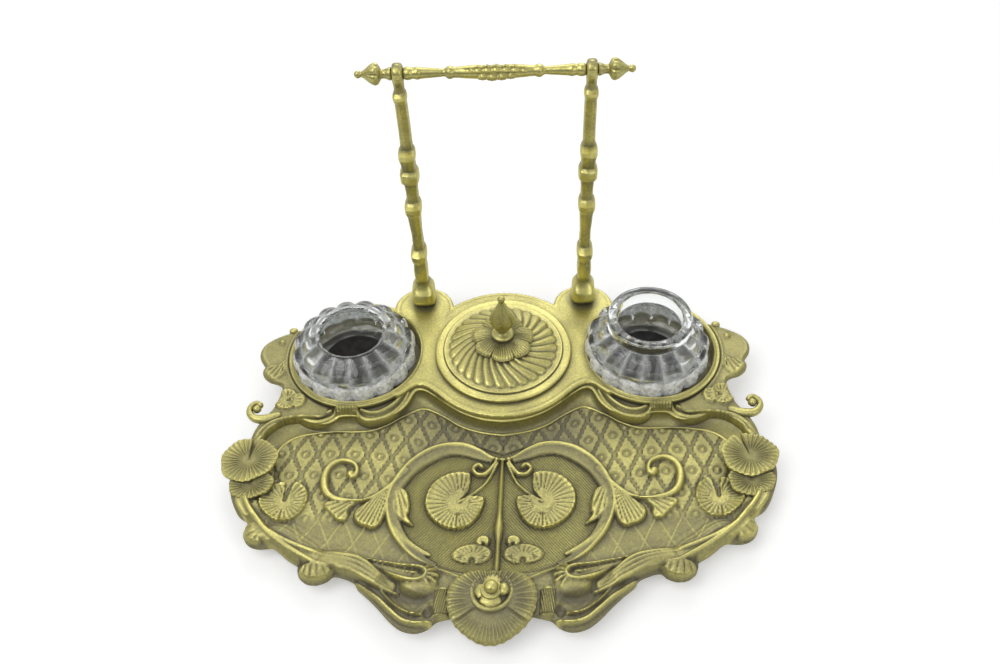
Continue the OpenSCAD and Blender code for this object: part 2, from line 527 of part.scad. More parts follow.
// acorn-shaped bud nut on each end of the bar
module finial(s) color(brass)
    translate([lid_x + s * (post_x + 3), lid_y + post_y, bar_z]) mirror([s < 0 ? 1 : 0, 0, 0])
    rotate([0, 90, 0]) difference() {
        union() {
            rotate_extrude($fn = 48) polygon([[0, 0], [3.6, 0], [3.9, 1], [3.4, 2], [2.5, 2.8], [2.5, 5],
                [4.6, 6.4], [5.3, 7.8], [4.8, 9.6], [3.6, 12], [2.3, 14], [1.4, 15.2], [0, 15.2]]);
            translate([0, 0, 16.2]) sphere(1.9, $fn = 32);
            for (a = [0 : 60 : 300]) rotate([0, 0, a]) translate([3.1, 0, 8.4]) sphere(2.6, $fn = 28);
        }
        translate([0, 0, -1]) cylinder(h = 4.6, r = spigot_r + fit, $fn = 32);
    }

// turned button foot with a spigot riveted into the casting
module foot(x, y, spig) color(dull) translate([lid_x + x, lid_y + y, 0]) {
    h = y > 0 ? 6.5 : 6;
    rotate_extrude($fn = 48) polygon([[0, 0], [5.6, 0], [6.6, 0.8], [6.8, 2], [5.8, 3.2],
        [5, 4.2], [5, h], [0, h]]);
    cylinder(h = h + spig, r = stud_r, $fn = 32);
}

base_casting();
stamp_cup();
left_inkwell();
right_inkwell();
lid_plate();
lid_leaf();
lid_knob();
lid_nut();
upright(-1);  // left_upright
upright(1);  // right_upright
upright_screw(-1);  // left_upright_screw
upright_screw(1);  // right_upright_screw
upright_washer(-1);  // left_upright_washer
upright_washer(1);  // right_upright_washer
crossbar();
finial(-1);  // left_finial
finial(1);  // right_finial
foot(-64 + lean(-118), -118, 2.4);  // front_left_foot
foot(64 + lean(-118), -118, 2.4);  // front_right_foot
foot(-95, 18, 2.4);  // back_left_foot
foot(95, 18, 2.4);  // back_right_foot
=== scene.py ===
# %% [markdown]
# # A desk inkstand in cast gilt brass
# The stand is one big casting: a sunk pen tray full of relief, a flat deck with two inkwell seats and a
# round lidded box, and two uprights that carry a crossbar for pens. The frame brings the CAD nodes in;
# this script dresses them in finely modelled pieces that stand in the same places.

# %% load the frame and keep its box
import json, math
import bpy
import numpy as np
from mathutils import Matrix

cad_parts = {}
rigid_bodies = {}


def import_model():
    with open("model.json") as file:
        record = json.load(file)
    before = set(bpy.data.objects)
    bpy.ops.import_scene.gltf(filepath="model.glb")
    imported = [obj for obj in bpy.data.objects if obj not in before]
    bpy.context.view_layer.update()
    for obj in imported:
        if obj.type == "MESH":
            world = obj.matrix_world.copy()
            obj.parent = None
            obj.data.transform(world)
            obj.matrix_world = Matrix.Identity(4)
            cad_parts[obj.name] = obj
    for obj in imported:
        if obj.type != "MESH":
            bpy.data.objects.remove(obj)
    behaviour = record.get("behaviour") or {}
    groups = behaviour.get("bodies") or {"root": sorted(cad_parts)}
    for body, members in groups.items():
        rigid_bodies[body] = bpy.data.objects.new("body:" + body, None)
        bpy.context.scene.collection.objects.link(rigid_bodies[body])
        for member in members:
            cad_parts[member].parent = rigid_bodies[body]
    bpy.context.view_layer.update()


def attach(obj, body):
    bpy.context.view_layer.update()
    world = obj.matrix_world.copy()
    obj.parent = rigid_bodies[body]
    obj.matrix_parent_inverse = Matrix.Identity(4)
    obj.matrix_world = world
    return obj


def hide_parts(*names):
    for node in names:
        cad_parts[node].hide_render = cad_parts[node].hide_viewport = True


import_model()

# %% [markdown]
# ## Measures
# All shapes below are worked out in millimetres, measured sideways and forward from the lid's upright
# axis, with height above the table. The casting leans a little to the left toward the front, as hand
# finished patterns do, so `lean` shears every shape by the same small amount.

# %% the lid's axis, the main levels and the lean
MM = 0.001
AXIS = np.array([2.5, 60.5, 0.0])
DECK, FLOOR, UNDER = 21.0, 10.5, 7.5
SEAT_X, SEAT_Y = 83.0, 0.5

def lean(y):
    """Sideways shift: four hundredths of the distance forward of y = -60."""
    return 0.04 * np.minimum(0.0, y + 60.0)

print("tray is", DECK - FLOOR, "mm deep")

# %% [markdown]
# ## From arrays to a mesh
# Each piece is a grid of points worked out as whole arrays. `foreach_set` hands the arrays to Blender in
# one go, which is far quicker than adding vertices one by one. Smooth shading hides the facets, and edges
# sharper than the angle `crisp` stay sharp, as they do where a casting was filed.

def piece(name, points, faces, body, finish, mirror=False, crisp=50, marks=None):
    """Puts points (mm from the lid's axis) and lists of 3 or 4 cornered faces into a mesh that rides on
    body. mirror turns the sign of x and the order of every face's corners. marks are named values per
    point."""
    points = np.array(points, float)
    if mirror:
        points[:, 0] *= -1
        faces = [f[:, ::-1] for f in faces]
    points[:, 0] += lean(points[:, 1])
    loops = np.concatenate([np.asarray(f).ravel() for f in faces]).astype(np.int32)
    sizes = np.concatenate([np.full(len(f), f.shape[1]) for f in faces])
    mesh = bpy.data.meshes.new(name)
    mesh.vertices.add(len(points))
    mesh.vertices.foreach_set("co", ((points + AXIS) * MM).ravel())
    mesh.loops.add(len(loops))
    mesh.loops.foreach_set("vertex_index", loops)
    mesh.polygons.add(len(sizes))
    mesh.polygons.foreach_set("loop_start", (np.cumsum(sizes) - sizes).astype(np.int32))
    mesh.polygons.foreach_set("use_smooth", np.ones(len(sizes), bool))
    mesh.update(calc_edges=True)
    mesh.validate()
    mesh.set_sharp_from_angle(angle=math.radians(crisp))
    for label, values in (marks or {}).items():
        column = mesh.attributes.new(label, "FLOAT", "POINT").data
        column.foreach_set("value", values.ravel().astype(np.float32))
    mesh.materials.append(finish)
    obj = bpy.data.objects.new(name, mesh)
    bpy.context.collection.objects.link(obj)
    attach(obj, body)
    return obj

# %% [markdown]
# ## Two ways to make a form
# A *closed grid* is rows of points round a form, from one pole to the other: a turned knob, a leaf with
# a top and an underside, or a bar swept along a path. A *curve* here is a Catmull-Rom spline, which runs
# through its control points, so the numbers in the lists below are places on the object itself.

# %% curve, closed grid, turned and swept forms
def curve(rows, steps=8):
    """Catmull-Rom spline through rows of any number of columns: each stretch is a cubic whose slope at a
    row is half the difference of the rows on either side."""
    p = np.array(rows, float)
    q = np.vstack([p[:1], p, p[-1:]])
    t = np.arange(steps)[:, None, None] / steps
    a, b, c, d = q[:-3], q[1:-2], q[2:-1], q[3:]
    s = 0.5 * (2 * b + (c - a) * t + (2 * a - 5 * b + 4 * c - d) * t ** 2
               + (3 * b - a - 3 * c + d) * t ** 3)
    return np.vstack([s.transpose(1, 0, 2).reshape(-1, p.shape[1]), p[-1:]])

def closed_grid(p):
    """Points and faces of rows x columns x 3 points whose columns close on themselves, with a pole point at
    the middle of each end row."""
    rows, cols = p.shape[:2]
    i, k = (each.ravel() for each in np.meshgrid(np.arange(rows - 1), np.arange(cols), indexing="ij"))
    m = (k + 1) % cols
    quads = np.stack([i * cols + k, (i + 1) * cols + k, (i + 1) * cols + m, i * cols + m], 1)
    k, m = k[:cols], m[:cols]
    first, last = rows * cols, rows * cols + 1
    fans = np.vstack([np.stack([np.full(cols, first), k, m], 1),
                      np.stack([np.full(cols, last), (rows - 1) * cols + m, (rows - 1) * cols + k], 1)])
    return np.vstack([p.reshape(-1, 3), p[0].mean(0), p[-1].mean(0)]), [quads, fans]

def turned(profile, cols=96, centre=(0, 0), steps=0, swell=None):
    """Surface of revolution: profile rows are radius and height, from the top of the axis outward and down.
    swell(radius, height, angle) gives new radii and heights, for flutes and petals."""
    prof = curve(profile, steps) if steps else np.array(profile, float)
    a = np.linspace(0, 2 * np.pi, cols, endpoint=False)[None]
    r, z = prof[:, :1] + 0 * a, prof[:, 1:2] + 0 * a
    if swell:
        r, z = swell(r, z, a)
    return np.stack([centre[0] + r * np.cos(a), centre[1] + r * np.sin(a), z], -1)

def swept(rows, section=None, steps=8, up=(0, 0, 1)):
    """A section carried along a path with round ends: rows are x, y, z, half width and half height. A point
    of the section goes to centre + width * a * side + height * b * top, where side = path x up."""
    section = circle(14) if section is None else section
    p = curve(rows, steps)
    t = np.gradient(p[:, :3], axis=0)
    t /= np.linalg.norm(t, axis=1, keepdims=True)
    cap = np.radians([65, 40, 20])
    r0, r1 = p[0, 3:5].min(), p[-1, 3:5].min()
    head = [np.r_[p[0, :3] - t[0] * r0 * np.sin(c), p[0, 3:] * np.cos(c)] for c in cap]
    tail = [np.r_[p[-1, :3] + t[-1] * r1 * np.sin(c), p[-1, 3:] * np.cos(c)] for c in cap[::-1]]
    p = np.vstack([head, p, tail])
    t = np.vstack([[t[0]] * 3, t, [t[-1]] * 3])
    side = np.cross(t, up)
    side /= np.linalg.norm(side, axis=1, keepdims=True)
    top = np.cross(side, t)
    across, upward = p[:, 3:4] * section[:, 0], p[:, 4:5] * section[:, 1]
    return p[:, None, :3] + across[..., None] * side[:, None] + upward[..., None] * top[:, None]

def circle(n, flutes=0, depth=0.0):
    """Points round a circle of radius 1, its edge waved in and out by depth for a fluted section."""
    a = np.arange(n) * 2 * np.pi / n
    r = 1 - depth * (0.5 - 0.5 * np.cos(flutes * a))
    return np.stack([r * np.cos(a), r * np.sin(a)], 1)

def smooth(a, b, x):
    """0 below a, 1 above b and an S-shaped step between."""
    t = np.clip((x - a) / (b - a), 0, 1)
    return t * t * (3 - 2 * t)

print("a ring of", len(circle(14)), "points makes a round bar")

# %% [markdown]
# ## Gilt brass
# Old gilding is bright where hands and cloths rub it and turns olive grey in the hollows. One recipe makes
# three finishes from it: a metal whose colour and roughness change with a value stored on each point, which
# holds the patina and, on some pieces, painted shade too, with how closed in the spot is (ambient occlusion)
# and with noise, and whose skin is bumped with a cast grain. The darkest colour serves for dirty hollows and
# for painted shade alike. Where a piece stores `hatch`, a count of engraved lines, each line is cut in and
# darkened.

# %% node helpers
def new_material(name):
    """An empty node material with its Principled shader and output joined."""
    mat = bpy.data.materials.new(name)
    mat.use_nodes = True
    nodes, links = mat.node_tree.nodes, mat.node_tree.links
    nodes.clear()
    shader = nodes.new("ShaderNodeBsdfPrincipled")
    out = nodes.new("ShaderNodeOutputMaterial")
    links.new(shader.outputs[0], out.inputs[0])
    return mat, nodes, links, shader

def maths(nodes, links, what, *values, clamp=False):
    """A Math node; each value is a number or another node's output."""
    node = nodes.new("ShaderNodeMath")
    node.operation, node.use_clamp = what, clamp
    for socket, value in zip(node.inputs, values):
        if isinstance(value, (int, float)):
            socket.default_value = value
        else:
            links.new(value, socket)
    return node.outputs[0]

def noise(nodes, links, coords, per_mm, detail=3.0, roughness=0.55):
    """Noise with that many features for each millimetre, from 0 to 1."""
    node = nodes.new("ShaderNodeTexNoise")
    node.inputs["Scale"].default_value = per_mm * 1000
    node.inputs["Detail"].default_value = detail
    node.inputs["Roughness"].default_value = roughness
    links.new(coords, node.inputs["Vector"])
    return node.outputs["Fac"]

def ramp(nodes, links, value, stops):
    """Colour ramp through (place, colour) stops."""
    node = nodes.new("ShaderNodeValToRGB")
    band = node.color_ramp
    while len(band.elements) < len(stops):
        band.elements.new(0.5)
    for element, (place, colour) in zip(band.elements, stops):
        element.position, element.color = place, (*colour, 1)
    links.new(value, node.inputs[0])
    return node.outputs[0]

print("helpers for", "Principled materials")

# %% the brass finishes
FINE, BROAD, GRAIN = 0.9, 0.06, 1.6  # spots, stains and cast grains for each millimetre
SPOTTED, STAINED, SCORED = 0.60, 0.42, -0.30  # what each of them, and an engraved line, adds to patina

def brass(name, bright, worn, dirt_and_shade, hollow, start, rough, grain):
    """bright is the rubbed colour, worn the plain one, and the third colour is for dirty hollows and for
    painted shade. start is the patina everywhere, hollow how much closed-in places add to it, rough and
    grain the skin's roughness and bump."""
    mat, nodes, links, shader = new_material(name)
    coords = nodes.new("ShaderNodeTexCoord").outputs["Object"]
    # a point's value: patina, plus painted shade where a piece puts it in
    patina_and_shade = nodes.new("ShaderNodeAttribute")
    patina_and_shade.attribute_name = "patina_and_shade"
    closed = nodes.new("ShaderNodeAmbientOcclusion")
    closed.samples = 5
    closed.inputs["Distance"].default_value = 0.005
    shut = maths(nodes, links, "SUBTRACT", 1.0, closed.outputs["AO"])
    fine = noise(nodes, links, coords, FINE, 4)
    broad = noise(nodes, links, coords, BROAD, 3)
    hatch = nodes.new("ShaderNodeAttribute")
    hatch.attribute_name = "hatch"
    lines = maths(nodes, links, "SINE", maths(nodes, links, "MULTIPLY", hatch.outputs["Fac"], 2 * math.pi))
    scored = maths(nodes, links, "MULTIPLY", maths(nodes, links, "MINIMUM", lines, 0.0), SCORED)
    value = maths(nodes, links, "MULTIPLY_ADD", shut, hollow, start)
    value = maths(nodes, links, "ADD", value, scored)
    value = maths(nodes, links, "ADD", value, patina_and_shade.outputs["Fac"])
    value = maths(nodes, links, "MULTIPLY_ADD", maths(nodes, links, "SUBTRACT", fine, 0.5), SPOTTED, value)
    value = maths(nodes, links, "MULTIPLY_ADD", maths(nodes, links, "SUBTRACT", broad, 0.5), STAINED, value,
                  clamp=True)
    links.new(ramp(nodes, links, value, [(0.0, bright), (0.34, worn), (0.9, dirt_and_shade)]),
              shader.inputs["Base Color"])
    links.new(maths(nodes, links, "MULTIPLY_ADD", value, 0.26, rough), shader.inputs["Roughness"])
    links.new(maths(nodes, links, "MULTIPLY_ADD", value, -0.35, 1.0), shader.inputs["Metallic"])
    cut = nodes.new("ShaderNodeBump")
    cut.inputs["Strength"].default_value = 0.9
    cut.inputs["Distance"].default_value = 0.0003
    links.new(lines, cut.inputs["Height"])
    skin = nodes.new("ShaderNodeBump")
    skin.inputs["Strength"].default_value = grain
    skin.inputs["Distance"].default_value = 0.0004
    links.new(noise(nodes, links, coords, GRAIN, 3), skin.inputs["Height"])
    links.new(cut.outputs[0], skin.inputs["Normal"])
    links.new(skin.outputs[0], shader.inputs["Normal"])
    return mat

BRIGHT, WORN, DIRT_AND_SHADE = (0.76, 0.70, 0.245), (0.45, 0.415, 0.17), (0.19, 0.175, 0.115)
cast_brass = brass("cast_brass", BRIGHT, WORN, DIRT_AND_SHADE, hollow=1.0, start=0.15, rough=0.37, grain=0.42)
polished_brass = brass("polished_brass", BRIGHT, WORN, DIRT_AND_SHADE, hollow=0.9, start=0.02, rough=0.33, grain=0.30)
dull_brass = brass("dull_brass", WORN, (0.42, 0.37, 0.14), DIRT_AND_SHADE, hollow=0.6, start=0.30, rough=0.42,
                   grain=0.16)
print("finishes", [m.name for m in (cast_brass, polished_brass, dull_brass)])

# %% [markdown]
# ## The pen tray: a relief is a height map
# Cast ornament has no undercuts, so that the pattern can leave the sand. A height for each point of a fine
# grid describes all of it: first the ground, then scrolls, leaves and bosses, each raised over what is
# there. Only the right half is drawn, and the left one is its mirror image.

# %% the grid and the tray's outline
STEP = 0.56
U, V = np.meshgrid(np.arange(0, 150, STEP), np.arange(-170, -19.9, STEP))

def to_line(u, v, path):
    """Distance to a polyline and the polyline's other columns at the nearest place: the least of the
    distances to its segments, found one segment after another."""
    best = np.full(u.shape, 1e9)
    extra = np.zeros((path.shape[1] - 2, *u.shape))
    for a, b in zip(path[:-1], path[1:]):
        d = b - a
        t = np.clip(((u - a[0]) * d[0] + (v - a[1]) * d[1]) / (d[0] ** 2 + d[1] ** 2 + 1e-9), 0, 1)
        e = np.hypot(u - a[0] - t * d[0], v - a[1] - t * d[1])
        near = e < best
        best[near] = e[near]
        for k in range(len(extra)):
            extra[k][near] = (a[2 + k] + t * d[2 + k])[near]
    return best, extra

def inside_of(u, v, outline):
    """Distance inside a closed outline, negative outside: crossings of a ray to the left tell which."""
    ring = np.vstack([outline, outline[:1]])
    odd = np.zeros(u.shape, bool)
    for a, b in zip(ring[:-1], ring[1:]):
        if a[1] != b[1]:
            cross = (v < a[1]) != (v < b[1])
            odd ^= cross & (u < a[0] + (v - a[1]) * (b[0] - a[0]) / (b[1] - a[1]))
    return np.where(odd, 1, -1) * to_line(u, v, ring)[0]

def soften(z, times):
    """Average of each value and its four neighbours, that many times over."""
    for _ in range(times):
        w = np.pad(z, 1, mode="edge")
        z = (w[1:-1, 1:-1] + w[:-2, 1:-1] + w[2:, 1:-1] + w[1:-1, :-2] + w[1:-1, 2:]) / 5
    return z

RIM = curve([[34, -24], [52, -26], [64, -32], [84, -36], [100, -38], [114, -41], [125, -45], [132, -51],
             [137, -58], [142, -67], [143, -80], [139.5, -92], [134.5, -100.5], [128.4, -105],
             [129, -108], [129.6, -111.5], [128, -115.5], [124.5, -118.6], [120, -119.8], [115.5, -119.6],
             [112, -120], [104.5, -126.2], [98.6, -130], [98, -133], [96.6, -136.4], [92.6, -139.4],
             [87.4, -140], [82.8, -138.2], [79.5, -135.6], [73.5, -137.2], [69, -139.6], [67, -143],
             [61.6, -147.6], [56, -153], [50, -159.4], [44, -164], [37, -165.6], [31, -163.6],
             [27.4, -160.2], [22, -158.6], [18, -157.6]], 4)
FOOT = curve([[0, -51], [13, -49], [24, -44.8], [33, -38.4], [39.5, -34.4], [45, -32.6], [51, -34.8],
              [58, -40], [65, -44.6], [73, -47.2], [84, -48], [94, -48.4], [103, -48.8], [110.5, -50.2],
              [116, -52.8], [120, -56.5], [122.5, -61], [124, -67], [124.5, -74]], 6)
under_wall = inside_of(U, V, np.vstack([FOOT, [[150, -74], [150, -10], [-5, -10], [-5, -51]]]))
inside = inside_of(U, V, np.vstack([RIM, [[0, -157.6], [-20, -157.6], [-20, -30], [0, -30]]]))
RISE, TERRACE, HOLLOW, DIMPLE = 3.0, 2.6, 1.7, 2.4  # mm that each part of the ground goes up or down
ground = FLOOR + RISE * smooth(17, 8, inside) * smooth(-56, -66, V)
ground = np.maximum(ground, FLOOR + TERRACE * smooth(-126, -141, V))
hollow_d = to_line(U, V, curve([[35, -153], [41, -151.4], [48, -147], [53, -142.6]], 5))[0]
ground = ground - HOLLOW * np.clip(1 - (hollow_d / 5.0) ** 2, 0, 1)
ground = ground - DIMPLE * np.clip(1 - (np.hypot(U - 31.4, (V + 156.6) * 0.7) / 2.9) ** 2, 0, 1)
print("grid", U.shape, "outline of", len(RIM), "points a side")

# %% [markdown]
# ## Trellis ground
# The tray's ground is a diaper of raised diamonds, each with a round boss in a sunk ring. Two slanting
# coordinates `p` and `q` count the diamonds along their two directions; how far the nearest diamond's
# middle is, in `p` and `q`, tells a diamond's top from the strips between. Toward the front the diamonds
# fade to thin crossing lines, and within the flat leaf-shaped cartouche in the middle there are none.

# %% diamonds and bosses
WIDE, TALL, FIRST = 13.4, 13.5, 52.6  # width and half height of a diamond, and where one is centred
row = (-63 - 5 * (np.clip(92 - U, 0, 60) / 40) ** 2 - V) / TALL
p, q = (U - FIRST + 0.5 * WIDE * row) / WIDE, (U - FIRST - 0.5 * WIDE * row) / WIDE
dp, dq = p - np.round(p), q - np.round(q)
edge = np.maximum(np.abs(dp), np.abs(dq))
boss_d = np.hypot(0.5 * WIDE * (dp + dq), 0.96 * TALL * (dp - dq))
scallop = 0.022 * np.cos(2 * np.pi * 5 * np.minimum(np.abs(dp), np.abs(dq)))
diamond = 0.85 * smooth(0.455, 0.395, edge + scallop) + 0.3 * np.exp(-((0.5 - edge) / 0.045) ** 2)
diamond -= 0.5 * np.exp(-((boss_d - 2.1) / 0.55) ** 2) * (edge < 0.4)
diamond = np.maximum(diamond, 1.45 * np.clip(1 - (boss_d / 1.3) ** 2, 0, 1) ** 0.6 * (boss_d < 1.3))
CARTOUCHE = curve([[0, -65], [8, -62], [16, -59], [26, -58], [36, -61], [46, -69], [54, -80], [57, -92],
                   [55.5, -104], [50, -115], [42, -124], [30, -131], [16, -136], [0, -137]], 4)
in_cartouche = inside_of(U, V, np.vstack([CARTOUCHE, [[-5, -137], [-5, -65]]]))
front_strip = smooth(-99, -108, V)
trellis = smooth(0.5, -0.5, in_cartouche) * smooth(3, 9, inside + 9 * (V > -60)) * smooth(-134, -124, V)
trellis = trellis * smooth(-0.6, -1.8, under_wall)
lattice = trellis * front_strip * np.exp(-((0.5 - edge) / 0.04) ** 2)
Z = ground + diamond * trellis * (1 - 0.86 * front_strip) + 0.3 * lattice
grooves = np.cos(2 * np.pi * np.clip(inside, 0, 30) / 2.6) * smooth(20, 11, inside) * smooth(-84, -104, V)
Z = Z + 0.16 * grooves * smooth(0.5, -0.5, in_cartouche)
print("diamonds", WIDE, "mm wide")

# %% [markdown]
# ## Scrolls, leaves and lily pads
# `raise_stroke` lays a rounded bar along a curve, `raise_pad` a water-lily leaf with grooves and a cleft,
# and `raise_leaf` a leaf of any outline with grooves that fan out from its heel. Each only touches the
# grid points near it, and raises the relief without ever lowering it.

# %% the relief tools
ornament = np.zeros(U.shape)

def lay(win, top, keep):
    """Raises the relief to top where keep is true, and marks the spot as ornament."""
    z, o = Z[win], ornament[win]
    over = keep & (top > z)
    z[over], o[over] = top[over], 1
    Z[win], ornament[win] = z, o

def window(lo, hi):
    """The grid points that lie in a box."""
    return (U > lo[0]) & (U < hi[0]) & (V > lo[1]) & (V < hi[1])

def raise_stroke(rows, steps=6, flat=2.6):
    """rows are x, y, half width and height; it stands height * (1 - (distance / half width) ^ flat) above
    the ground."""
    path = curve(rows, steps)
    win = window(path[:, :2].min(0) - path[:, 2].max(), path[:, :2].max(0) + path[:, 2].max())
    d, (w, h) = to_line(U[win], V[win], path)
    lay(win, ground[win] + h * (1 - np.clip(d / w, 0, 1) ** flat), d < w)

def raise_pad(x, y, radius, height, cleft, ribs=30, dish=0.5, wide=1.0, off=(0, 0), notch=0.0):
    """A round leaf, dished towards its stalk at x, y, with a rolled edge and a groove at each peak of a
    cosine of the angle. Its cleft is 0.5 + 0.1 * r wide to each side, and wider by notch at the edge; in
    the corners there the two distances to the edge join in a quarter circle. wide stretches the leaf along
    x, and off is how far its middle lies from the stalk."""
    win = window((x - radius * 1.4 * wide, y - radius * 1.4), (x + radius * 1.4 * wide, y + radius * 1.4))
    u, v = (U[win] - x) / wide, V[win] - y
    r, a = np.hypot(u, v), np.arctan2(v, u)
    angle = np.abs((a - np.radians(cleft) + np.pi) % (2 * np.pi) - np.pi)
    s = r / (radius * (1 + 0.03 * np.sin(3 * a + 1) + 0.008 * np.cos(ribs * a)) + off[0] * np.cos(a)
             + off[1] * np.sin(a))
    gap = angle * r - (0.5 + 0.10 * r + notch * smooth(0.4, 0.95, s))
    corner = 0.24 * radius
    depth = corner - np.hypot(*(np.maximum(corner - d, 0) for d in (radius * (1 - s), gap)))
    grooves = 0.5 * np.clip(1.7 * np.cos(ribs * a + 2.0 * s) - 0.6, 0, 1) * smooth(0.16, 0.45, s)
    top = (ground[win] + height * (1 - dish + dish * s ** 2) - 0.9 * height * smooth(0.6, -0.3, depth)
           - grooves * smooth(0.3, 1.2, depth)
           + 0.4 * np.exp(-((depth - 0.9) / 0.7) ** 2) * smooth(0.1, 0.4, s))
    lay(win, top, depth > -0.3)

def raise_leaf(outline, heel, lines, height, low=0.45):
    """A leaf inside an outline: it climbs to height within 1.8 mm of the edge, has a rolled edge, and fine
    grooves cut along the directions that share out its angle as seen from the heel."""
    path = curve(outline + outline[:1], 5)
    win = window(path.min(0) - 1, path.max(0) + 1)
    d = inside_of(U[win], V[win], path)
    facing = np.arctan2(path[:, 1].mean() - heel[1], path[:, 0].mean() - heel[0])
    turn = lambda x, y: (np.arctan2(y - heel[1], x - heel[0]) - facing + np.pi) % (2 * np.pi) - np.pi
    ends = turn(path[:, 0], path[:, 1])[np.hypot(*(path - heel).T) > 4]
    t = (turn(U[win], V[win]) - ends.min()) / np.ptp(ends)
    grooves = 0.6 * np.clip(1.6 * np.cos(2 * np.pi * lines * t) - 0.6, 0, 1) * smooth(0.8, 1.8, d)
    away = np.hypot(U[win] - heel[0], V[win] - heel[1])
    top = (ground[win] + height * (low + (1 - low) * smooth(0, 1.8, d))
           + 0.5 * np.exp(-((d - 1.0) / 0.6) ** 2) - grooves * smooth(1.5, 5, away))
    lay(win, top, d > 0)

print("relief tools ready")

# %% [markdown]
# On each side of a stem in the middle a broad C-scroll sweeps out and round, its band a shallow cove with
# raised borders; a mask keeps where the band lies, and there it gets painted shade, a darker colour that
# stands in for the shadow in the cove. Leaves fill its elbow, and a thinner scroll curls away over the
# diamonds and ends in a round drop. Lily pads lie in the cartouche and beside it.

# %% ornament of the tray
raise_stroke([[56.2, -98, 1.6, 1.4], [55.4, -105, 2.4, 1.9], [52.8, -110.6, 2.9, 2.0],
              [48, -116, 2.7, 1.8], [42, -120.6, 2.0, 1.5], [34, -125, 1.2, 1.2]], flat=4)
raise_leaf([[54, -85], [49, -87.4], [46.6, -94], [46, -100], [46.6, -103], [43.2, -108.6], [48.4, -106.8],
            [53.7, -101.8], [55.8, -98], [55.8, -92], [55.4, -87]], (57, -76), 5, 2.3)
raise_leaf([[72.5, -95], [77, -98.4], [77, -102.8], [78.7, -105.6], [82.6, -105.4], [86, -102], [89, -99],
            [91, -96.6], [89.6, -93.6], [82, -92.6], [75, -93.4]], (72, -91), 7, 2.5)
raise_leaf([[56.6, -81], [56.4, -89], [57.6, -97.6], [58.2, -102.8], [60, -107.6], [63.5, -110.6],
            [67, -109.4], [70.6, -108.2], [74, -104.8], [74.4, -100.4], [71.8, -97], [66.4, -92],
            [61, -86.4]], (55.5, -76), 9, 3.0)
raise_stroke([[3.4, -69.8, 1.2, 2.4], [5.4, -73.6, 1.5, 2.5], [8.8, -77.8, 1.6, 2.6],
              [13, -77.8, 1.5, 2.6], [15.2, -74.4, 1.4, 2.6], [12.8, -71.8, 1.4, 2.7],
              [10.8, -73.2, 1.5, 2.9]], flat=2.2)
before = Z.copy()
raise_stroke([[6.4, -68.8, 1.6, 1.5], [13, -65.8, 2.8, 1.7], [20, -62.4, 3.8, 1.9], [28, -61.8, 3.9, 2.0],
              [35.6, -64.6, 3.8, 2.1], [45.4, -71.8, 3.8, 2.3], [52, -81, 3.6, 2.4],
              [55.6, -91, 3.2, 2.3], [55, -101, 3.2, 2.2], [50.6, -112, 3.2, 1.9], [44, -120.4, 2.4, 1.5],
              [37, -126.4, 1.4, 1.0], [30, -130.6, 0.8, 0.8]], flat=6)
# painted shade: marks where the wide band lies, to be darkened for the shadow in its cove
painted_cove_shade = Z > before + 0.01
before = Z.copy()
raise_stroke([[0, -69, 0.9, 2.3], [5.6, -67.4, 1.1, 2.4], [12.4, -62.9, 1.5, 2.7], [20, -59.3, 1.8, 2.9],
              [28.6, -58.7, 1.9, 3.0], [38.4, -61.6, 2.0, 3.2], [47.8, -69, 2.1, 3.3],
              [54.8, -79.6, 2.0, 3.3], [58, -91, 1.8, 3.1], [57.2, -101.6, 1.8, 3.0],
              [52.8, -112.6, 1.9, 2.6], [45, -122.6, 1.6, 2.1], [37.6, -128.4, 1.1, 1.6],
              [29, -132.6, 0.8, 1.2]], flat=2.4)
painted_cove_shade = soften(np.where(Z > before + 0.01, 0.0, painted_cove_shade), 1)
raise_stroke([[50, -75.6, 2.4, 3.3], [56.2, -83.2, 1.9, 3.3], [61.7, -88.6, 1.4, 3.3],
              [67, -92.4, 1.1, 3.4], [73, -94.2, 1.1, 3.4], [80, -93.7, 1.5, 3.5], [86.4, -92, 2.1, 3.6],
              [90.8, -88.2, 2.5, 3.6], [92.8, -82.6, 2.6, 3.6], [93, -77, 2.4, 3.6],
              [91, -71.8, 2.1, 3.5], [87, -68.9, 1.8, 3.4], [82.2, -68.8, 1.6, 3.3],
              [78.3, -71, 1.5, 3.3], [76.6, -74.5, 1.5, 3.3], [76.9, -77.8, 1.7, 3.3],
              [78.8, -79.0, 1.8, 3.3]], flat=3.4)
raise_stroke([[79.4, -77.1, 2.9, 3.9], [79.6, -77.1, 2.9, 3.9]], flat=2.4)
raise_pad(21.4, -95.2, 17.3, 2.2, 137, 34, wide=0.88, off=(1.9, 1.8), notch=4.6)
raise_stroke([[21.6, -94.8, 1.0, 1.9], [17.6, -92.2, 0.9, 1.6], [14.2, -89.4, 0.9, 1.4],
              [11, -86.4, 0.9, 1.4], [8.6, -83.8, 0.9, 1.5], [6.6, -80.4, 0.9, 1.6], [4.6, -76, 1.0, 1.8],
              [2.6, -71, 1.1, 2.0]])
raise_pad(12.6, -126.6, 5.8, 1.0, -90, 20, dish=0.3, wide=1.6, off=(0, 1.8))
raise_pad(7.6, -119.2, 3.1, 2.4, -110, 10, dish=0.2, wide=1.05, off=(0, 1.3))
raise_stroke([[0, -68, 1.0, 2.3], [0, -80, 1.2, 2.4], [0, -98, 1.2, 2.4], [0, -105, 1.7, 2.8],
              [0, -110, 2.4, 3.2], [0, -115.5, 1.9, 3.0], [0, -122, 1.3, 2.6], [0, -140, 1.5, 2.4]],
             flat=2.4)
raise_pad(112, -93, 12.5, 2.2, 96, 26)
print("tray relief up to", round(float(Z.max() - FLOOR), 1), "mm high")

# %% [markdown]
# Along the rim run several bars side by side, with little shells where the edge bulges. At the front they
# gather into a sheaf of four strands, laid evenly between an upper and a lower path. The sheaf ends in a
# scroll: a low lump, five fingers round it and a narrow loop over both.

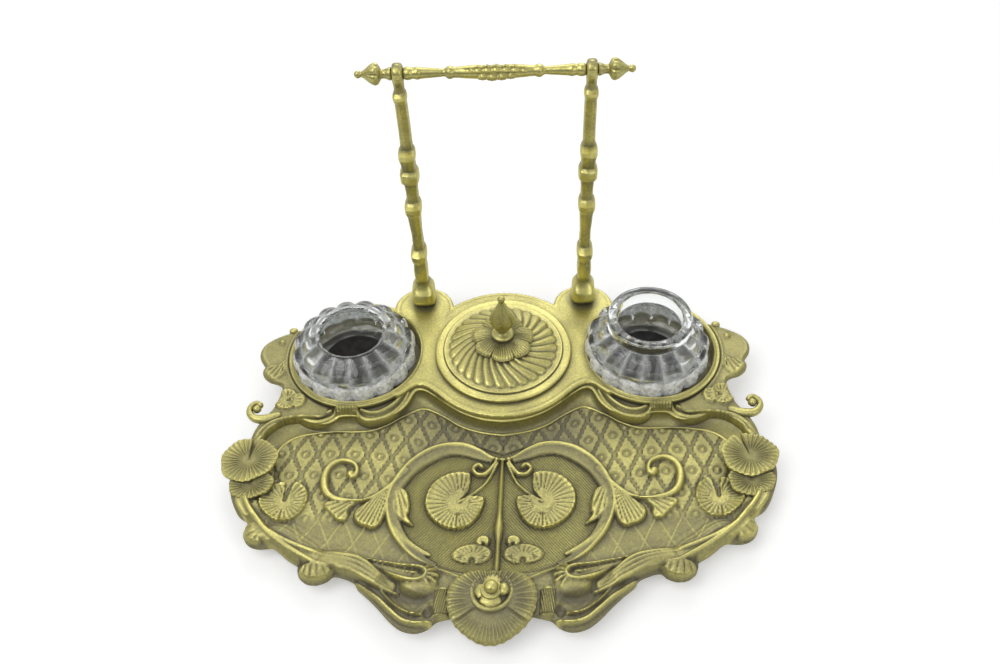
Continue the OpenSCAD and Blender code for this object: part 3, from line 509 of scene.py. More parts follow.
# %% ornament of the rim
raise_stroke([[133.6, -94, 3.2, 1.6], [128.4, -101.4, 3.5, 2.1], [122.4, -108.4, 3.8, 2.4],
              [114, -116.4, 3.8, 2.5], [104, -122.6, 3.6, 2.3], [94, -127.4, 3.2, 2.0],
              [84, -131, 2.6, 1.6]], flat=4)
raise_stroke([[137.2, -89.4, 1.0, 0.5], [134.8, -95.4, 1.5, 2.0], [130.5, -101.8, 1.6, 2.6],
              [126, -108, 1.6, 2.6], [120.8, -114, 1.5, 2.4], [116, -118, 1.2, 1.8]])
raise_leaf([[120.4, -109.6], [125.6, -106.4], [128.6, -108], [129.6, -112], [127.6, -116],
            [123.4, -118.6], [118.6, -118.4]], (113, -108), 4, 2.4, 0.3)
raise_stroke([[134.6, -86.4, 1.2, 0.5], [132.4, -91.6, 1.7, 2.0], [128.3, -99, 2.0, 3.4],
              [123.2, -105.5, 2.0, 3.6], [118, -111.3, 2.1, 3.7], [112.8, -116, 2.1, 3.7],
              [107.6, -120, 2.0, 3.5], [101.5, -123.8, 1.9, 3.4], [95.5, -127.4, 1.8, 3.3],
              [89.2, -130.6, 1.6, 3.0], [83, -132.2, 1.3, 2.6]], flat=3.4)
raise_stroke([[114.6, -113, 1.5, 3.2], [108, -117.4, 1.6, 3.2], [99, -121.6, 1.6, 3.1],
              [91, -124.6, 1.5, 2.9], [82, -127.4, 1.3, 2.6]], flat=3.4)
raise_leaf([[79.4, -134.4], [83, -131.4], [89, -130.2], [95, -131.4], [97.4, -134.8], [94.6, -138.4],
            [88.6, -139.8], [83, -138]], (90, -122), 5, 2.5, 0.3)
raise_stroke([[112, -122, 1.1, 1.4], [104.5, -125.6, 1.3, 1.6], [97.4, -129.6, 1.2, 1.5]])
raise_stroke([[92, -126.2, 3.2, 1.8], [80, -129.6, 4.6, 2.6], [70.6, -132.4, 5.6, 3.2],
              [63, -136.2, 5.4, 3.3], [56.6, -139.8, 4.8, 3.0], [51, -143, 3.4, 2.2]], flat=3.4)
upper = np.array([[92, -123.6], [76, -126.6], [68.6, -128.6], [63.4, -131.8], [59.0, -135.4],
                  [56.0, -138.0], [53.6, -140.4]])
lower = np.array([[92, -127.8], [78, -131.8], [70.0, -135.6], [63.0, -139.6], [56.8, -143.0],
                  [51.6, -145.4], [47.0, -147.0]])
for k in range(4):
    line = upper + (lower - upper) * k / 3
    tall = [1.9, 3.3 - 0.2 * k, 4.2 - 0.2 * k, 4.5 - 0.2 * k, 4.4 - 0.3 * k, 3.6 - 0.3 * k, 1.8]
    raise_stroke(np.column_stack([line, [1.4, 1.8, 2.0, 2.1, 2.0, 1.6, 1.0], tall]), flat=2.4)
raise_stroke([[90, -122.4, 0.8, 1.4], [66, -127.6, 0.9, 1.5], [45, -130.6, 0.9, 1.6],
              [28, -134.2, 0.9, 1.6], [16, -139.6, 0.8, 1.3]])
raise_stroke([[29.6, -162.6, 1.3, 2.4], [36.6, -163, 1.5, 2.6], [43.2, -161.2, 1.5, 2.6],
              [49.4, -156.2, 1.5, 2.6], [55.6, -150.4, 1.4, 2.3], [61, -146.4, 1.3, 1.9],
              [65.6, -143.2, 1.2, 1.6], [71, -139.8, 0.9, 1.0]], flat=2.2)
raise_stroke([[34.6, -158.4, 0.9, 1.8], [41, -157.4, 1.0, 2.1], [47, -153.8, 1.0, 2.1],
              [52.6, -148.2, 1.0, 2.0], [57, -142.6, 0.9, 1.8]], flat=2.2)
raise_stroke([[25.4, -146.4, 3.4, 1.2], [25.3, -151, 3.8, 1.9], [24.8, -157.6, 3.6, 1.4]], flat=3.4)
lump = np.hypot((U - 37.0) / 9.8, (V + 142.4) / 7.4)
lay(lump < 1, (ground + 3.4 * (1 - lump ** 3))[lump < 1], True)
for turn in np.radians([112, 142, 172, 202, 232]):
    x, y = np.cos(turn), np.sin(turn)
    raise_stroke([[36 + 2.4 * x, -138.8 + 2.4 * y, 1.7, 4.2], [36 + 4.8 * x, -138.8 + 4.8 * y, 2.1, 4.4],
                  [36 + 7.0 * x, -139.2 + 7.0 * y, 2.1, 3.0]], flat=2.0)
raise_stroke([[39.6, -137.4, 3.8, 2.6], [47, -135.6, 3.2, 2.6], [54, -133.2, 2.4, 2.2],
              [60, -130.8, 1.5, 1.8]], flat=4)
raise_stroke([[66, -128.2, 1.0, 2.6], [54, -130.4, 1.3, 3.6], [46, -132.4, 1.5, 4.2],
              [40, -133.2, 1.6, 4.7], [35.8, -134.6, 1.7, 5.0], [33.8, -137.2, 1.8, 5.0],
              [34.8, -140, 1.9, 4.9], [38, -141.4, 2.0, 4.8], [42, -141.0, 1.9, 4.6],
              [46.4, -139.6, 1.7, 4.2], [51, -137.6, 1.4, 3.8], [55.6, -134.4, 1.0, 3.0]], flat=2.4)
raise_stroke([[38.4, -137.4, 1.5, 3.9], [43, -136.6, 1.4, 3.8], [50, -134.2, 0.8, 3.0]], flat=2.2)
print("rim relief up to", round(float(Z.max() - FLOOR), 1), "mm high")

# %% [markdown]
# ## From a height map to a plate
# `plate` turns a height map into a closed body. Grid squares whose middle lies inside the outline are
# kept, and the corners on their border slide onto the outline, along the direction in which the distance
# to it changes fastest. That gives the smooth edge that the real plate has, out of a square grid.

# %% plate from a height map
def plate(u, v, top, inside, low):
    """A border corner goes to corner - inside * grad(inside) / |grad(inside)|^2. Returns the points of the
    top and then of the underside, the faces, and which grid corners are used."""
    step = u[0, 1] - u[0, 0]
    gv, gu = np.gradient(inside, step)
    keep = (inside[:-1, :-1] + inside[1:, :-1] + inside[:-1, 1:] + inside[1:, 1:]) > 0
    k = np.pad(keep, 1).astype(int)
    touch = k[:-1, :-1] + k[1:, :-1] + k[:-1, 1:] + k[1:, 1:]
    pull = np.where((touch < 4) & (np.abs(inside) < 1.5 * step), inside, 0) / (gu ** 2 + gv ** 2 + 1e-6)
    used = touch > 0
    n = int(used.sum())
    ids = np.cumsum(used.ravel()).reshape(used.shape) - 1
    x, y = (u - pull * gu)[used], (v - pull * gv)[used]
    points = np.vstack([np.stack([x, y, top[used]], 1),
                        np.stack([x, y, np.broadcast_to(low, top.shape)[used]], 1)])
    a, b, c, d = ids[:-1, :-1][keep], ids[:-1, 1:][keep], ids[1:, 1:][keep], ids[1:, :-1][keep]
    faces = [np.stack([a, b, c, d], 1), np.stack([a, d, c, b], 1) + n]
    for beside, s, t in ((k[:-2, 1:-1], a, b), (k[1:-1, 2:], b, c), (k[2:, 1:-1], c, d),
                         (k[1:-1, :-2], d, a)):
        free = beside[keep] == 0
        faces.append(np.stack([s[free] + n, t[free] + n, t[free], s[free]], 1))
    return points, faces, used

def brass_piece(name, points, faces, node="base_casting", body="stand", polished=False, **more):
    """A piece of the casting or of another brass node, in that node's place."""
    finish, slot = (polished_brass, "polished_brass") if polished else (cast_brass, "cast_brass")
    obj = piece(name, points, faces, body, finish, **more)
    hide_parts(node)

def round_piece(name, grid, patina_and_shade=None, poles=(0, 0), **more):
    """A brass piece from a closed grid. The third argument is a value of patina, and of painted shade where
    a caller puts it in, for each point or row of the grid, or one for all of it, and poles are the two pole
    points' own values."""
    points, faces = closed_grid(grid)
    if patina_and_shade is not None:
        patina_and_shade = np.broadcast_to(np.reshape(patina_and_shade, (-1, 1)) if np.ndim(patina_and_shade) == 1 else patina_and_shade,
                                 grid.shape[:2])
        more["marks"] = {"patina_and_shade": np.r_[patina_and_shade.ravel(), poles]}
    brass_piece(name, points, faces, **more)

def both_sides(name, plated, patina_and_shade, hatch=None):
    """The right piece and its mirror twin from what plate returned, with marks from grids of values."""
    points, faces, used = plated
    marks = {"patina_and_shade": np.tile(patina_and_shade[used], 2)}
    if hatch is not None:
        marks["hatch"] = np.tile(hatch[used], 2)
    for side, mirror in (("right", False), ("left", True)):
        brass_piece("%s_%s" % (name, side), points, faces, mirror=mirror, marks=marks)

print("plates ready")

# %% [markdown]
# The tray's two halves. `rolled` is the relief with its edge rolled over, more so at the two lobes that
# droop outside the rim. The patina is dark where the relief lies lower than its surroundings and less on
# the diamonds' tops; painted shade darkens the cove of the C-scrolls, a painted shadow lies under the lip
# of the front scroll, and the ground is darker near the wall. `hatch` counts the engraved lines of the
# cartouche and of the strap beside the front lily.

# %% the two halves of the tray
lobes = np.maximum(smooth(10.5, 6.5, np.hypot(U - 124.5, V + 112)),
                   smooth(11.5, 7.5, np.hypot(U - 89, V + 134.5)))
ROLL, DROOP = 1.3, 2.9
rolled = Z - ROLL * smooth(1.8, 0, inside) - DROOP * lobes * smooth(5.5, -1, inside)
rolled -= 0.25 * smooth(0.6, -0.6, np.abs(in_cartouche)) * (ornament == 0)
cavity = np.clip(soften(Z, 14) - Z, -1.5, 1.5)
flat_ground = 1 - soften(ornament, 1)
bare, raised = 1 - ornament, soften(ornament, 1)
plain = 0.30 - 0.19 * smooth(0, 3, in_cartouche) + 0.12 * front_strip * smooth(1, -1, in_cartouche)
patina_and_shade = 0.30 * cavity + flat_ground * plain
patina_and_shade -= 0.15 * bare * smooth(0.2, 0.7, diamond * trellis * (1 - 0.7 * front_strip))
patina_and_shade += (0.08 + 0.05 * smooth(18, 15, np.hypot(U - 21.8, V + 95.4))) * raised
# darker on the front ornament, and darker ground near the foot of the wall
patina_and_shade += 0.10 * smooth(-114, -120, V) * raised + 0.17 * bare * smooth(20, 3, -under_wall)
# painted shade on the C-scroll's band, for the shadow in its cove; darker ground near the wall by the stem
patina_and_shade += 0.40 * painted_cove_shade + 0.30 * bare * smooth(62, 34, U) * smooth(-78, -62, V) * smooth(1, -1, in_cartouche)
patina_and_shade += 0.06 * raised * smooth(-126, -132, V) - 0.25 * lattice * (ornament < 0.5)
# painted shadow on the ground under the lip of the front scroll
patina_and_shade += 0.34 * smooth(1.3, 0.6, np.hypot((U - 38.5) / 9.0, (V + 148.6) / 3.4))
HATCH, BINDING = 1.9, 1.25  # mm from one engraved line to the next
waves = 0.5 * np.sin(U / 4) * np.cos(V / 6)
hatch = np.where((in_cartouche > 0) & (ornament < 0.5), (V + 1.2 * U + waves) / HATCH, 0)
strap = (np.abs(U - 25.2) < 3.5) & (V > -158) & (V < -145.6)
hatch = np.where(strap, (U + 0.2 * V) / BINDING, hatch)
both_sides("tray", plate(U, V, rolled, inside, FLOOR - 1.8), patina_and_shade, hatch)

# %% [markdown]
# ## The hollow wall under the deck
# From the deck's edge a concave wall runs down to the tray. It is a loft: `CREST` is its upper edge and
# `FOOT` the lower one, and a quarter circle joins them at each place along the way.

# %% wall
CREST = curve([[0, -46.7, 18.2], [12, -45.1, 18.2], [23, -40.7, 18.2], [32, -34.2, 18.2],
               [39, -28.3, 18.2], [45, -24.4, 18.4], [50, -25, 18.2], [53.6, -31.4, 17],
               [57, -36.6, 16.4], [61.4, -41.2, 16], [67, -44.2, 15.8], [73, -45.4, 15.8],
               [78.2, -43.6, 16.2], [81.4, -41.4, 17.2], [89.6, -41.4, 17.2], [93, -43, 16.2],
               [97, -45.6, 15.8], [102, -46.4, 15.8], [108.4, -44.4, 16], [114, -41.6, 16.6],
               [120, -43, 17], [127, -47, 17], [131.5, -54, 16.9], [134.5, -62, 16.6], [135.5, -72, 16]],
              6)
crest = np.vstack([(CREST * [-1, 1, 1])[:0:-1], CREST])
foot = np.vstack([(FOOT * [-1, 1])[:0:-1], FOOT])
SECTIONS = 420

def even(path):
    """SECTIONS points along the path, at even steps of its length as seen from above."""
    run = np.r_[0, np.cumsum(np.linalg.norm(np.diff(path[:, :2], axis=0), axis=1))]
    return np.stack([np.interp(np.linspace(0, 1, SECTIONS), run / run[-1], column) for column in path.T], 1)

foot, crest = even(foot), even(crest)
away = foot - crest[:, :2]
away /= np.linalg.norm(away, axis=1, keepdims=True)
tau = np.radians(np.linspace(0, 90, 15))
loop = []
for out, up in ((2.2, -0.6), (2.0, 0.5), (1.4, 1.0), (0.8, 1.05), (0.2, 0.6)):
    loop.append(np.column_stack([foot + out * away, np.full(SECTIONS, FLOOR + up)]))
top_in, top_z = crest[:, :2] + 1.3 * away, crest[:, 2] - 1.2
for t in tau:
    xy = foot + (top_in - foot) * np.sin(t)
    loop.append(np.column_stack([xy, FLOOR + (top_z - FLOOR) * (1 - np.cos(t))]))
for out, up in ((1.9, -0.9), (2.3, -0.3), (2.2, 0.3), (1.6, 0.6), (0.2, 0.5), (-0.6, 0.1), (-2.4, -0.4)):
    loop.append(np.column_stack([crest[:, :2] + out * away, crest[:, 2] + up]))
for edge_line, out in ((crest[:, :2], -2.4), (foot, 1.2)):
    loop.append(np.column_stack([edge_line + out * away, np.full(SECTIONS, UNDER + 1.0)]))
wall = np.stack(loop, 1)
shade = np.r_[0, 0, -0.1, -0.1, 0.2, 0.20 * np.cos(tau) + 0.12, 0.1, 0, -0.05, -0.05, 0.1, 0.3, 0.3, 0, 0]
round_piece("hollow_wall", wall, np.tile(shade, (SECTIONS, 1)), crisp=60)
print("wall of", wall.shape[0], "sections")

# %% [markdown]
# ## Deck and seats
# The flat deck joins a disc, two lobes that carry the uprights and the two seats. Each part's distance
# function is simple, and the largest of them is the distance inside all of them together.

# %% deck plate
u, v = np.meshgrid(np.arange(0, 108, 0.6), np.arange(-50, 56, 0.6))
disc = 47 - np.hypot(u, v)
lobe = 17.5 - np.hypot(u - 47, v - 34.5)
seat = 37.6 - np.hypot(u - SEAT_X, v - SEAT_Y)
waist = inside_of(u, v, curve([[-20, -30], [20, -38], [26, -38.4], [31, -34.8], [37, -29.5], [42, -25.5],
                               [46.6, -23.8], [51, -25.4], [55, -29], [60, -31], [70, -20], [66, 20],
                               [58, 26], [40, 30], [-20, 30]], 4))
edge_in = np.maximum.reduce([disc, lobe, seat, waist])
solid = np.minimum.reduce([edge_in, np.hypot(u, v) - 36.7, np.hypot(u - SEAT_X, v - SEAT_Y) - 36.2])
rounding = 1.5 * (1 - np.sqrt(1 - np.clip(1 - edge_in / 1.5, 0, 1) ** 2))
top = DECK - rounding - 0.35 * np.exp(-((edge_in - 2.8) / 0.45) ** 2)
rubbed = 0.05 - 0.16 * smooth(3, 0, edge_in) + 0.05 * np.sin(u / 9) * np.cos(v / 7)
both_sides("deck", plate(u, v, top, solid, DECK - 4), rubbed)

# %% seats: floor, bore and bead
seat_profile = [[0.5, FLOOR], [20, FLOOR], [35.2, FLOOR], [35.7, FLOOR + 0.5], [35.7, 20.4], [35.9, 21.3],
                [36.3, 21.75], [36.9, 21.6], [37.2, 21.0], [37.5, 20.75], [38.2, 20.75], [38.8, 20.95],
                [39.3, 20.7], [39.5, 20.0], [39.3, 18.8], [38.6, 17.2], [38.0, 15], [38.0, UNDER + 0.8],
                [37.6, UNDER], [20, UNDER], [0.5, UNDER]]
# painted shade: the seat's floor and bore are darker, for the dim light inside under the glass
painted_seat_shade = np.interp(np.array(seat_profile)[:, 1], [10, 19, 21], [0.62, 0.45, -0.05])
for side, s in (("left", -1), ("right", 1)):
    round_piece("seat_" + side, turned(seat_profile, 128, (s * SEAT_X, SEAT_Y)), painted_seat_shade, (0.3, 0.5))
print("seats bored", 2 * seat_profile[4][0], "mm")

# %% [markdown]
# ## Shell hollows under the seats
# Below the front of each seat hang two crescent-shaped hollows, framed by double ridges, with a small
# ribbed strap between them. They are another little relief, made with the tray's own tools on a new grid.

# %% apron with its two hollows and the strap
U, V = np.meshgrid(np.arange(48, 122, 0.4), np.arange(-49, -24, 0.4))
APRON = curve([[50, -24.5], [51.6, -28.6], [53.4, -32.6], [56.4, -37.4], [60.8, -42], [66.8, -45.2],
               [73.2, -46.3], [78.6, -44.5], [81.8, -42], [89, -42], [92, -43.4], [96, -46.2],
               [102, -47.3], [108.8, -45.3], [114.6, -41.6], [117.6, -37], [119, -31], [113, -22],
               [100, -26], [83, -30], [66, -26], [56, -18]], 4)
seat_r = np.hypot(U - SEAT_X, V - SEAT_Y)
inside = np.minimum(inside_of(U, V, APRON), seat_r - 37.8)
ground = 15.6 + 1.4 * smooth(44, 39, seat_r) + 1.6 * smooth(4.5, 2, np.abs(U - 85.6) - 3.4)
Z, ornament = ground.copy(), np.zeros(U.shape)
for ridge in (
        [[52.4, -27.6, 2.0, 2.6], [54.4, -32, 2.0, 1.9], [57.4, -36.4, 2.0, 1.6], [61.6, -40.6, 2.0, 1.5],
         [67, -43.3, 2.0, 1.5], [73.2, -44.3, 2.0, 1.5], [77.8, -42.6, 1.8, 1.6], [80.2, -40, 1.4, 1.9]],
        [[55.6, -28.4, 1.3, 2.6], [58.8, -32.6, 1.5, 1.9], [63, -36.4, 1.6, 1.7], [68, -39.2, 1.6, 1.6],
         [73.2, -40, 1.6, 1.7], [77.6, -38.8, 1.4, 2.0]],
        [[91.6, -40, 1.4, 1.9], [95, -43.2, 1.8, 1.6], [101.6, -45.2, 2.0, 1.5], [108.4, -43.2, 2.0, 1.6],
         [113.6, -39.6, 2.0, 2.0], [116.6, -35, 1.9, 2.6]],
        [[94.6, -39, 1.4, 2.0], [100.4, -40.8, 1.6, 1.7], [106.4, -39.2, 1.6, 1.8],
         [111, -35.8, 1.4, 2.2]]):
    raise_stroke(ridge, flat=2.2)
raise_stroke([[81.2, -40.6, 1.5, 2.4], [85.6, -41, 1.9, 2.2], [90, -40.6, 1.5, 2.4]], flat=4)
raise_stroke([[80.8, -39.2, 1.9, 3.4], [85.6, -39.4, 2.1, 3.7], [90.4, -39.2, 1.9, 3.4]], flat=3)
rolled = Z - 1.0 * (1 - smooth(0, 1.0, inside))
patina_and_shade = 0.08 + 0.26 * (1 - ornament) * smooth(43.5, 40, seat_r) + 0.25 * np.clip(soften(Z, 8) - Z, -1, 1)
hatch = np.where((np.abs(U - 85.6) < 5.6) & (V > -41.6) & (V < -37.2), U / 1.7, 0)
both_sides("apron", plate(U, V, rolled, inside, UNDER + 3), patina_and_shade, hatch)

# %% [markdown]
# ## Wings
# Outside each seat the deck runs out into a lobed wing. It is another small relief: the same tools raise
# leaves, a pad and three strands on it, since they only work with the grid that `U`, `V` and `Z` now hold.
# Its underside rises by 5 mm toward the back and side edges, so that they look as thin as cast sheet.

# %% wing relief
U, V = np.meshgrid(np.arange(88, 142, 0.6), np.arange(-64, 24, 0.6))
WING = curve([[98, 10], [112, 18.6], [118, 19.6], [124, 17.6], [130, 14.8], [136.2, 10.4], [139.4, 4.4],
              [139, -1.8], [136.2, -6.6], [135.2, -8.4], [136, -11.4], [134.8, -15.4], [130.8, -19],
              [126.4, -20.6], [123.6, -22.6], [123, -27], [124.6, -33], [127.4, -38.4], [131, -43.4],
              [134, -50], [136.6, -57], [137, -62.5], [131.5, -62], [127.6, -52.6], [119.6, -45.4],
              [108, -43.4], [98, -42.6], [95, -34], [98, -20]], 4)
inside = np.minimum(inside_of(U, V, WING), np.hypot(U - SEAT_X, V - SEAT_Y) - 39)
ground = DECK - 0.6 - 2.4 * smooth(-18, -44, V) - 4.5 * smooth(-50, -62, V)
Z, ornament = ground + 0.5 * np.exp(-((inside - 1.8) / 0.7) ** 2) * smooth(-40, -20, V), np.zeros(U.shape)
raise_leaf([[124.6, -4], [127.6, -7.4], [132.2, -8.2], [134.6, -12.4], [132, -16.4], [128.6, -18.8],
            [124.8, -16.6], [122.6, -11.6]], (123, -2), 5, 1.0, 0.4)
raise_stroke([[127.6, 9.2, 1.9, 2.0], [127.7, 9.2, 1.9, 2.0]], flat=2.0)
raise_pad(119.4, -32.4, 6.6, 1.5, 178, 15, off=(0.6, 0.4))
raise_leaf([[116.2, -31.4], [113.6, -28.2], [110.2, -29], [108.8, -32.6], [110.6, -36.4], [114, -37.6],
            [116, -35]], (117, -32.6), 5, 1.4, 0.55)
raise_stroke([[116.4, -32.4, 1.1, 1.9], [116.6, -32.4, 1.1, 1.9]], flat=2.0)
for k in range(3):
    raise_stroke([[99 + k, -43.2 - 0.3 * k, 1.1, 1.0], [108, -43 - 1.8 * k, 1.3, 1.3],
                  [117, -43.8 - 2.2 * k, 1.3, 1.5], [125 - 0.6 * k, -46.4 - 2.3 * k, 1.3, 1.5],
                  [130.4 - 1.5 * k, -51.4 - 1.8 * k, 1.3, 1.4],
                  [134.4 - 2.3 * k, -57.6 - 0.8 * k, 1.2, 1.0]], flat=2.2)
rolled = Z - 1.0 * (1 - smooth(0, 1.2, inside))
patina_and_shade = 0.28 + 0.30 * np.clip(soften(Z, 10) - Z, -1, 1) - 0.12 * ornament
low = DECK - 8 + 5.0 * smooth(6.5, 0, inside) * smooth(-32, -20, V)
both_sides("wing", plate(U, V, rolled, inside, low), patina_and_shade)

# %% hooks and beads
for side, mirror in (("left", True), ("right", False)):
    for label, rows in (("hook", [[123, -41.4, 17.4, 2.2, 2], [129.6, -44.2, 17.9, 2.7, 2.2],
                                  [135.2, -44.2, 18.4, 2.3, 2.2], [138.6, -40.8, 18.9, 1.9, 2.0],
                                  [138.3, -36.8, 19.4, 1.7, 1.9], [135.6, -34.9, 19.8, 1.6, 1.8],
                                  [133.2, -36.4, 20.1, 1.6, 1.8]]),
                        ("curl_bead", [[134.7, -38.8, 19.6, 2.4, 2.2], [134.9, -38.6, 19.8, 2.3, 2.2]]),
                        ("bead", [[122.2, 18.2, 20.2, 2.2, 2.2], [123, 18.0, 20.2, 2.2, 2.2]])):
        round_piece("%s_%s" % (label, side), swept(rows, section=circle(20)), mirror=mirror)
print("hooks at the sides")

# %% [markdown]
# ## Water-lily leaves on the rim
# A leaf is a polar grid: rows go from the stalk out to the edge and back underneath, columns go round. The
# cleft is a place where the edge's radius falls to almost nothing.

# %% rim leaves
DISH, THICK = 1.2, 1.4

def lily_leaf(x, y, z, radius, deep, cleft, ribs, tilt, cols=240):
    """edge(a) = radius * (1 + waves) * (1 - cleft notch), and deep times that along y; height = dish * s ^ 2
    + ribs * cos, tilted by a slope along x and y."""
    a = np.linspace(0, 2 * np.pi, cols, endpoint=False)[None]
    s = np.array([0.05, 0.15, 0.3, 0.45, 0.6, 0.72, 0.84, 0.92, 0.97, 1.0, 0.995, 0.96, 0.8, 0.5, 0.2,
                  0.05])[:, None]
    off = np.abs((a - np.radians(cleft) + np.pi) % (2 * np.pi) - np.pi)
    edge = radius * (1 + 0.03 * np.sin(3 * a + 1.3) + 0.022 * np.sin(7 * a))
    edge = edge * (1 - 0.86 * np.exp(-(off / 0.07) ** 2))
    under = (np.arange(len(s)) > 9)[:, None]
    rib = 0.36 * np.cos(ribs * a + 1.2 * s) * smooth(0.1, 0.5, s) * ~under
    px, py = s * edge * np.cos(a), deep * s * edge * np.sin(a)
    h = DISH * s ** 2 + rib - 0.7 * smooth(0.93, 1.0, s) - THICK * under + tilt[0] * px + tilt[1] * py
    return np.stack([x + px, y + py, z + h], -1)

ring = [0.4, 0.24, 0.16, 0.14, 0.12, 0.1, 0.08, 0.02, -0.06, -0.06, 0, 0.3, 0.3, 0.3, 0.3, 0.3]
for name, *how in (
        ("rim_leaf_left_back", -133.8, -71.2, 18.0, 15.1, 0.84, 84, 30, (0.05, 0.10)),
        ("rim_leaf_left_front", -130.6, -84.4, 15.0, 11.6, 0.76, 60, 26, (0.03, 0.04)),
        ("rim_leaf_right_back", 129.1, -71.6, 18.0, 14.8, 0.84, 112, 30, (-0.05, 0.10)),
        ("rim_leaf_right_front", 128.8, -85.4, 15.0, 12.0, 0.76, 110, 26, (-0.03, 0.04))):
    round_piece(name, lily_leaf(*how), ring, (0.5, 0.3))
print("four rim leaves")

# %% [markdown]
# ## The lily at the front
# One broad leaf droops over the front edge and two ribbed ones stand a step above it at the sides, all in
# one closed form whose edge is a radius for each direction. On top sits the flower: a bowl with a rolled
# lip, a ball on a collar in its middle and four blunt petals that lie across the lip.

# %% front lily
def front_leaf(cols=480):
    """Edge radius by direction from a smooth table; height falls with the square of the way forward; the
    side leaves stand a step above the front one."""
    a = np.linspace(0, 2 * np.pi, cols, endpoint=False)[None]
    table = curve([[-180, 21.5], [-150, 20.8], [-125, 20.2], [-100, 20.8], [-80, 20.8], [-55, 20.2],
                   [-30, 20.8], [0, 21.5], [25, 21.5], [50, 18.5], [75, 15], [90, 14], [105, 15],
                   [130, 18.5], [155, 21.5], [180, 21.5]], 6)
    deg = (np.degrees(a) + 180) % 360 - 180
    edge = np.interp(deg, table[:, 0], table[:, 1]) * (1 + 0.008 * np.cos(30 * a))
    s = np.array([0.03, 0.2, 0.34, 0.46, 0.58, 0.7, 0.8, 0.88, 0.94, 0.98, 1.0, 0.985, 0.93, 0.8, 0.4,
                  0.03])[:, None]
    under = (np.arange(len(s)) > 10)[:, None]
    px, py = s * edge * np.cos(a), s * edge * np.sin(a)
    sides = smooth(-34, -26, np.where(deg < -90, -180 - deg, deg))
    rib = np.where(sides > 0.5, 1.7 * np.cos(34 * a) * smooth(0.5, 0.62, s),
                   np.cos(60 * a) * smooth(0.56, 0.72, s))
    h = 5.2 - 0.014 * np.clip(-py - 3, 0, 30) ** 2 - 0.5 * smooth(0.95, 1.0, s)
    h = h + 0.35 * np.exp(-((s - 0.93) / 0.04) ** 2)
    h = h + ~under * (0.26 * rib + 1.7 * sides * smooth(0.3, 0.5, s))
    h -= 0.004 * px ** 2 + 1.8 * under
    return np.stack([px, py, np.maximum(FLOOR + h, UNDER)], -1)

shade = np.interp(np.arange(16), [0, 4, 9, 10, 15], [0.7, 0.5, 0.05, 0, 0.4])
round_piece("front_lily", front_leaf() + [-1.4, -151.6, 0], shade, (0.6, 0.4))
boss = [[0.3, 18.4], [4.0, 18.4], [5.0, 18.0], [5.3, 16.8], [6.2, 15.8], [7.4, 15.6], [8.2, 16.3],
        [9.0, 17.0], [9.8, 17.1], [10.6, 16.7], [11.1, 15.6], [11.3, 13.4], [8, 11.6], [0.3, 11.6]]
MID = np.array([-1.6, -147.6])
dark = np.interp(np.array(boss)[:, 0], [4.8, 5.4, 7.8, 9.0, 10.6], [0.05, 0.5, 0.5, 0.12, 0.3])
round_piece("lily_boss", turned(boss, 72, MID), dark)
ball = [[0.2, 23.9], [1.5, 23.7], [2.8, 22.9], [3.5, 21.5], [3.2, 20.2], [2.7, 19.6], [3.6, 19.4],
        [4.9, 19.0], [5.2, 18.0], [0.2, 17.6]]
round_piece("lily_ball", turned(ball, 40, MID - [0, 0.4]))
for k, (facing, w, far, up) in enumerate(((88, 4.6, 9.0, -0.2), (0, 3.3, 7.8, 1.2), (182, 3.9, 7.4, -0.3),
                                          (268, 5.2, 7.8, -0.2))):
    out = np.array([math.cos(math.radians(facing)), math.sin(math.radians(facing))])
    rows = [[*(MID + 3.0 * out), 17.2, w * 0.8, 1.5], [*(MID + 6.0 * out), 16.8 + up, w, 1.4 + 0.4 * up],
            [*(MID + far * out), 16.0 + 0.5 * up, w * 0.6, 1.1]]
    round_piece("lily_sepal_%d" % k, swept(rows, section=circle(24)))
print("lily built")

# %% [markdown]
# ## The lid
# A shallow dome with swirled ribs on a stepped flange. `turned` makes the round form, and `swell` waves it:
# the ribs turn further round as they run out, lean over to one side like laid-over leaves, and end in
# round tongues on the flange.

# %% lid plate
FLUTES, DOME_ROWS = 28, 34
dome_r = np.linspace(30.6, 0.4, DOME_ROWS)[::-1]
dome_z = DECK + 11.2 - 7.4 * (dome_r / 31) ** 1.8
flange = [[31.2, 24.4], [32.4, 24.3], [33.3, 24.3], [33.6, 24.0], [33.75, 23.3], [34.0, 23.35],
          [34.3, 23.4], [37.5, 23.4], [37.8, 23.35], [38.3, 23.0], [38.5, 22.5], [38.1, 21.05], [34, 21.05],
          [32.3, 21.0], [32.3, 17.5], [30.4, 17.5], [30.4, 21.6], [27, 24.6], [20, 27.2], [10, 29.4],
          [0.4, 29.9]]
profile = np.vstack([np.column_stack([dome_r, dome_z]), flange])

def flutes(r, z, a):
    """Each rib is |sin| of half their number times the angle, turned further as r grows and raised more on
    one side; ribs fade in past the leaf and drop to the flange where r passes a line that follows them."""
    top = (np.arange(len(r)) < DOME_ROWS)[:, None]
    turn = a - 0.40 * smooth(8, 31, r) - 0.004 * r
    rib = np.abs(np.sin(FLUTES / 2 * turn)) ** 0.75
    lean_over = 0.5 + 0.5 * np.sin(FLUTES * turn + 0.9)
    grow = smooth(9, 15, r) * top
    drop = smooth(27.4 + 2.2 * rib, 29.2 + 1.6 * rib, r) * top
    z = z + grow * (1.6 * rib * (0.72 + 0.28 * lean_over) - 1.0)
    z = z * (1 - drop) + 24.4 * drop
    return r, z

lid = turned(profile, FLUTES * 14, swell=flutes)
patina_and_shade = 0.24 + np.clip(-0.9 * (lid[..., 2] - soften(lid[..., 2], 3)), -0.2, 0.6)
patina_and_shade[DOME_ROWS + 3:DOME_ROWS + 6] += 0.2  # darker in the corner at the foot of the dome
patina_and_shade -= 0.06 * smooth(33, 34, np.hypot(lid[..., 0], lid[..., 1]))
round_piece("lid_cover", lid, patina_and_shade, node="lid_plate", body="lid", polished=True, crisp=40)

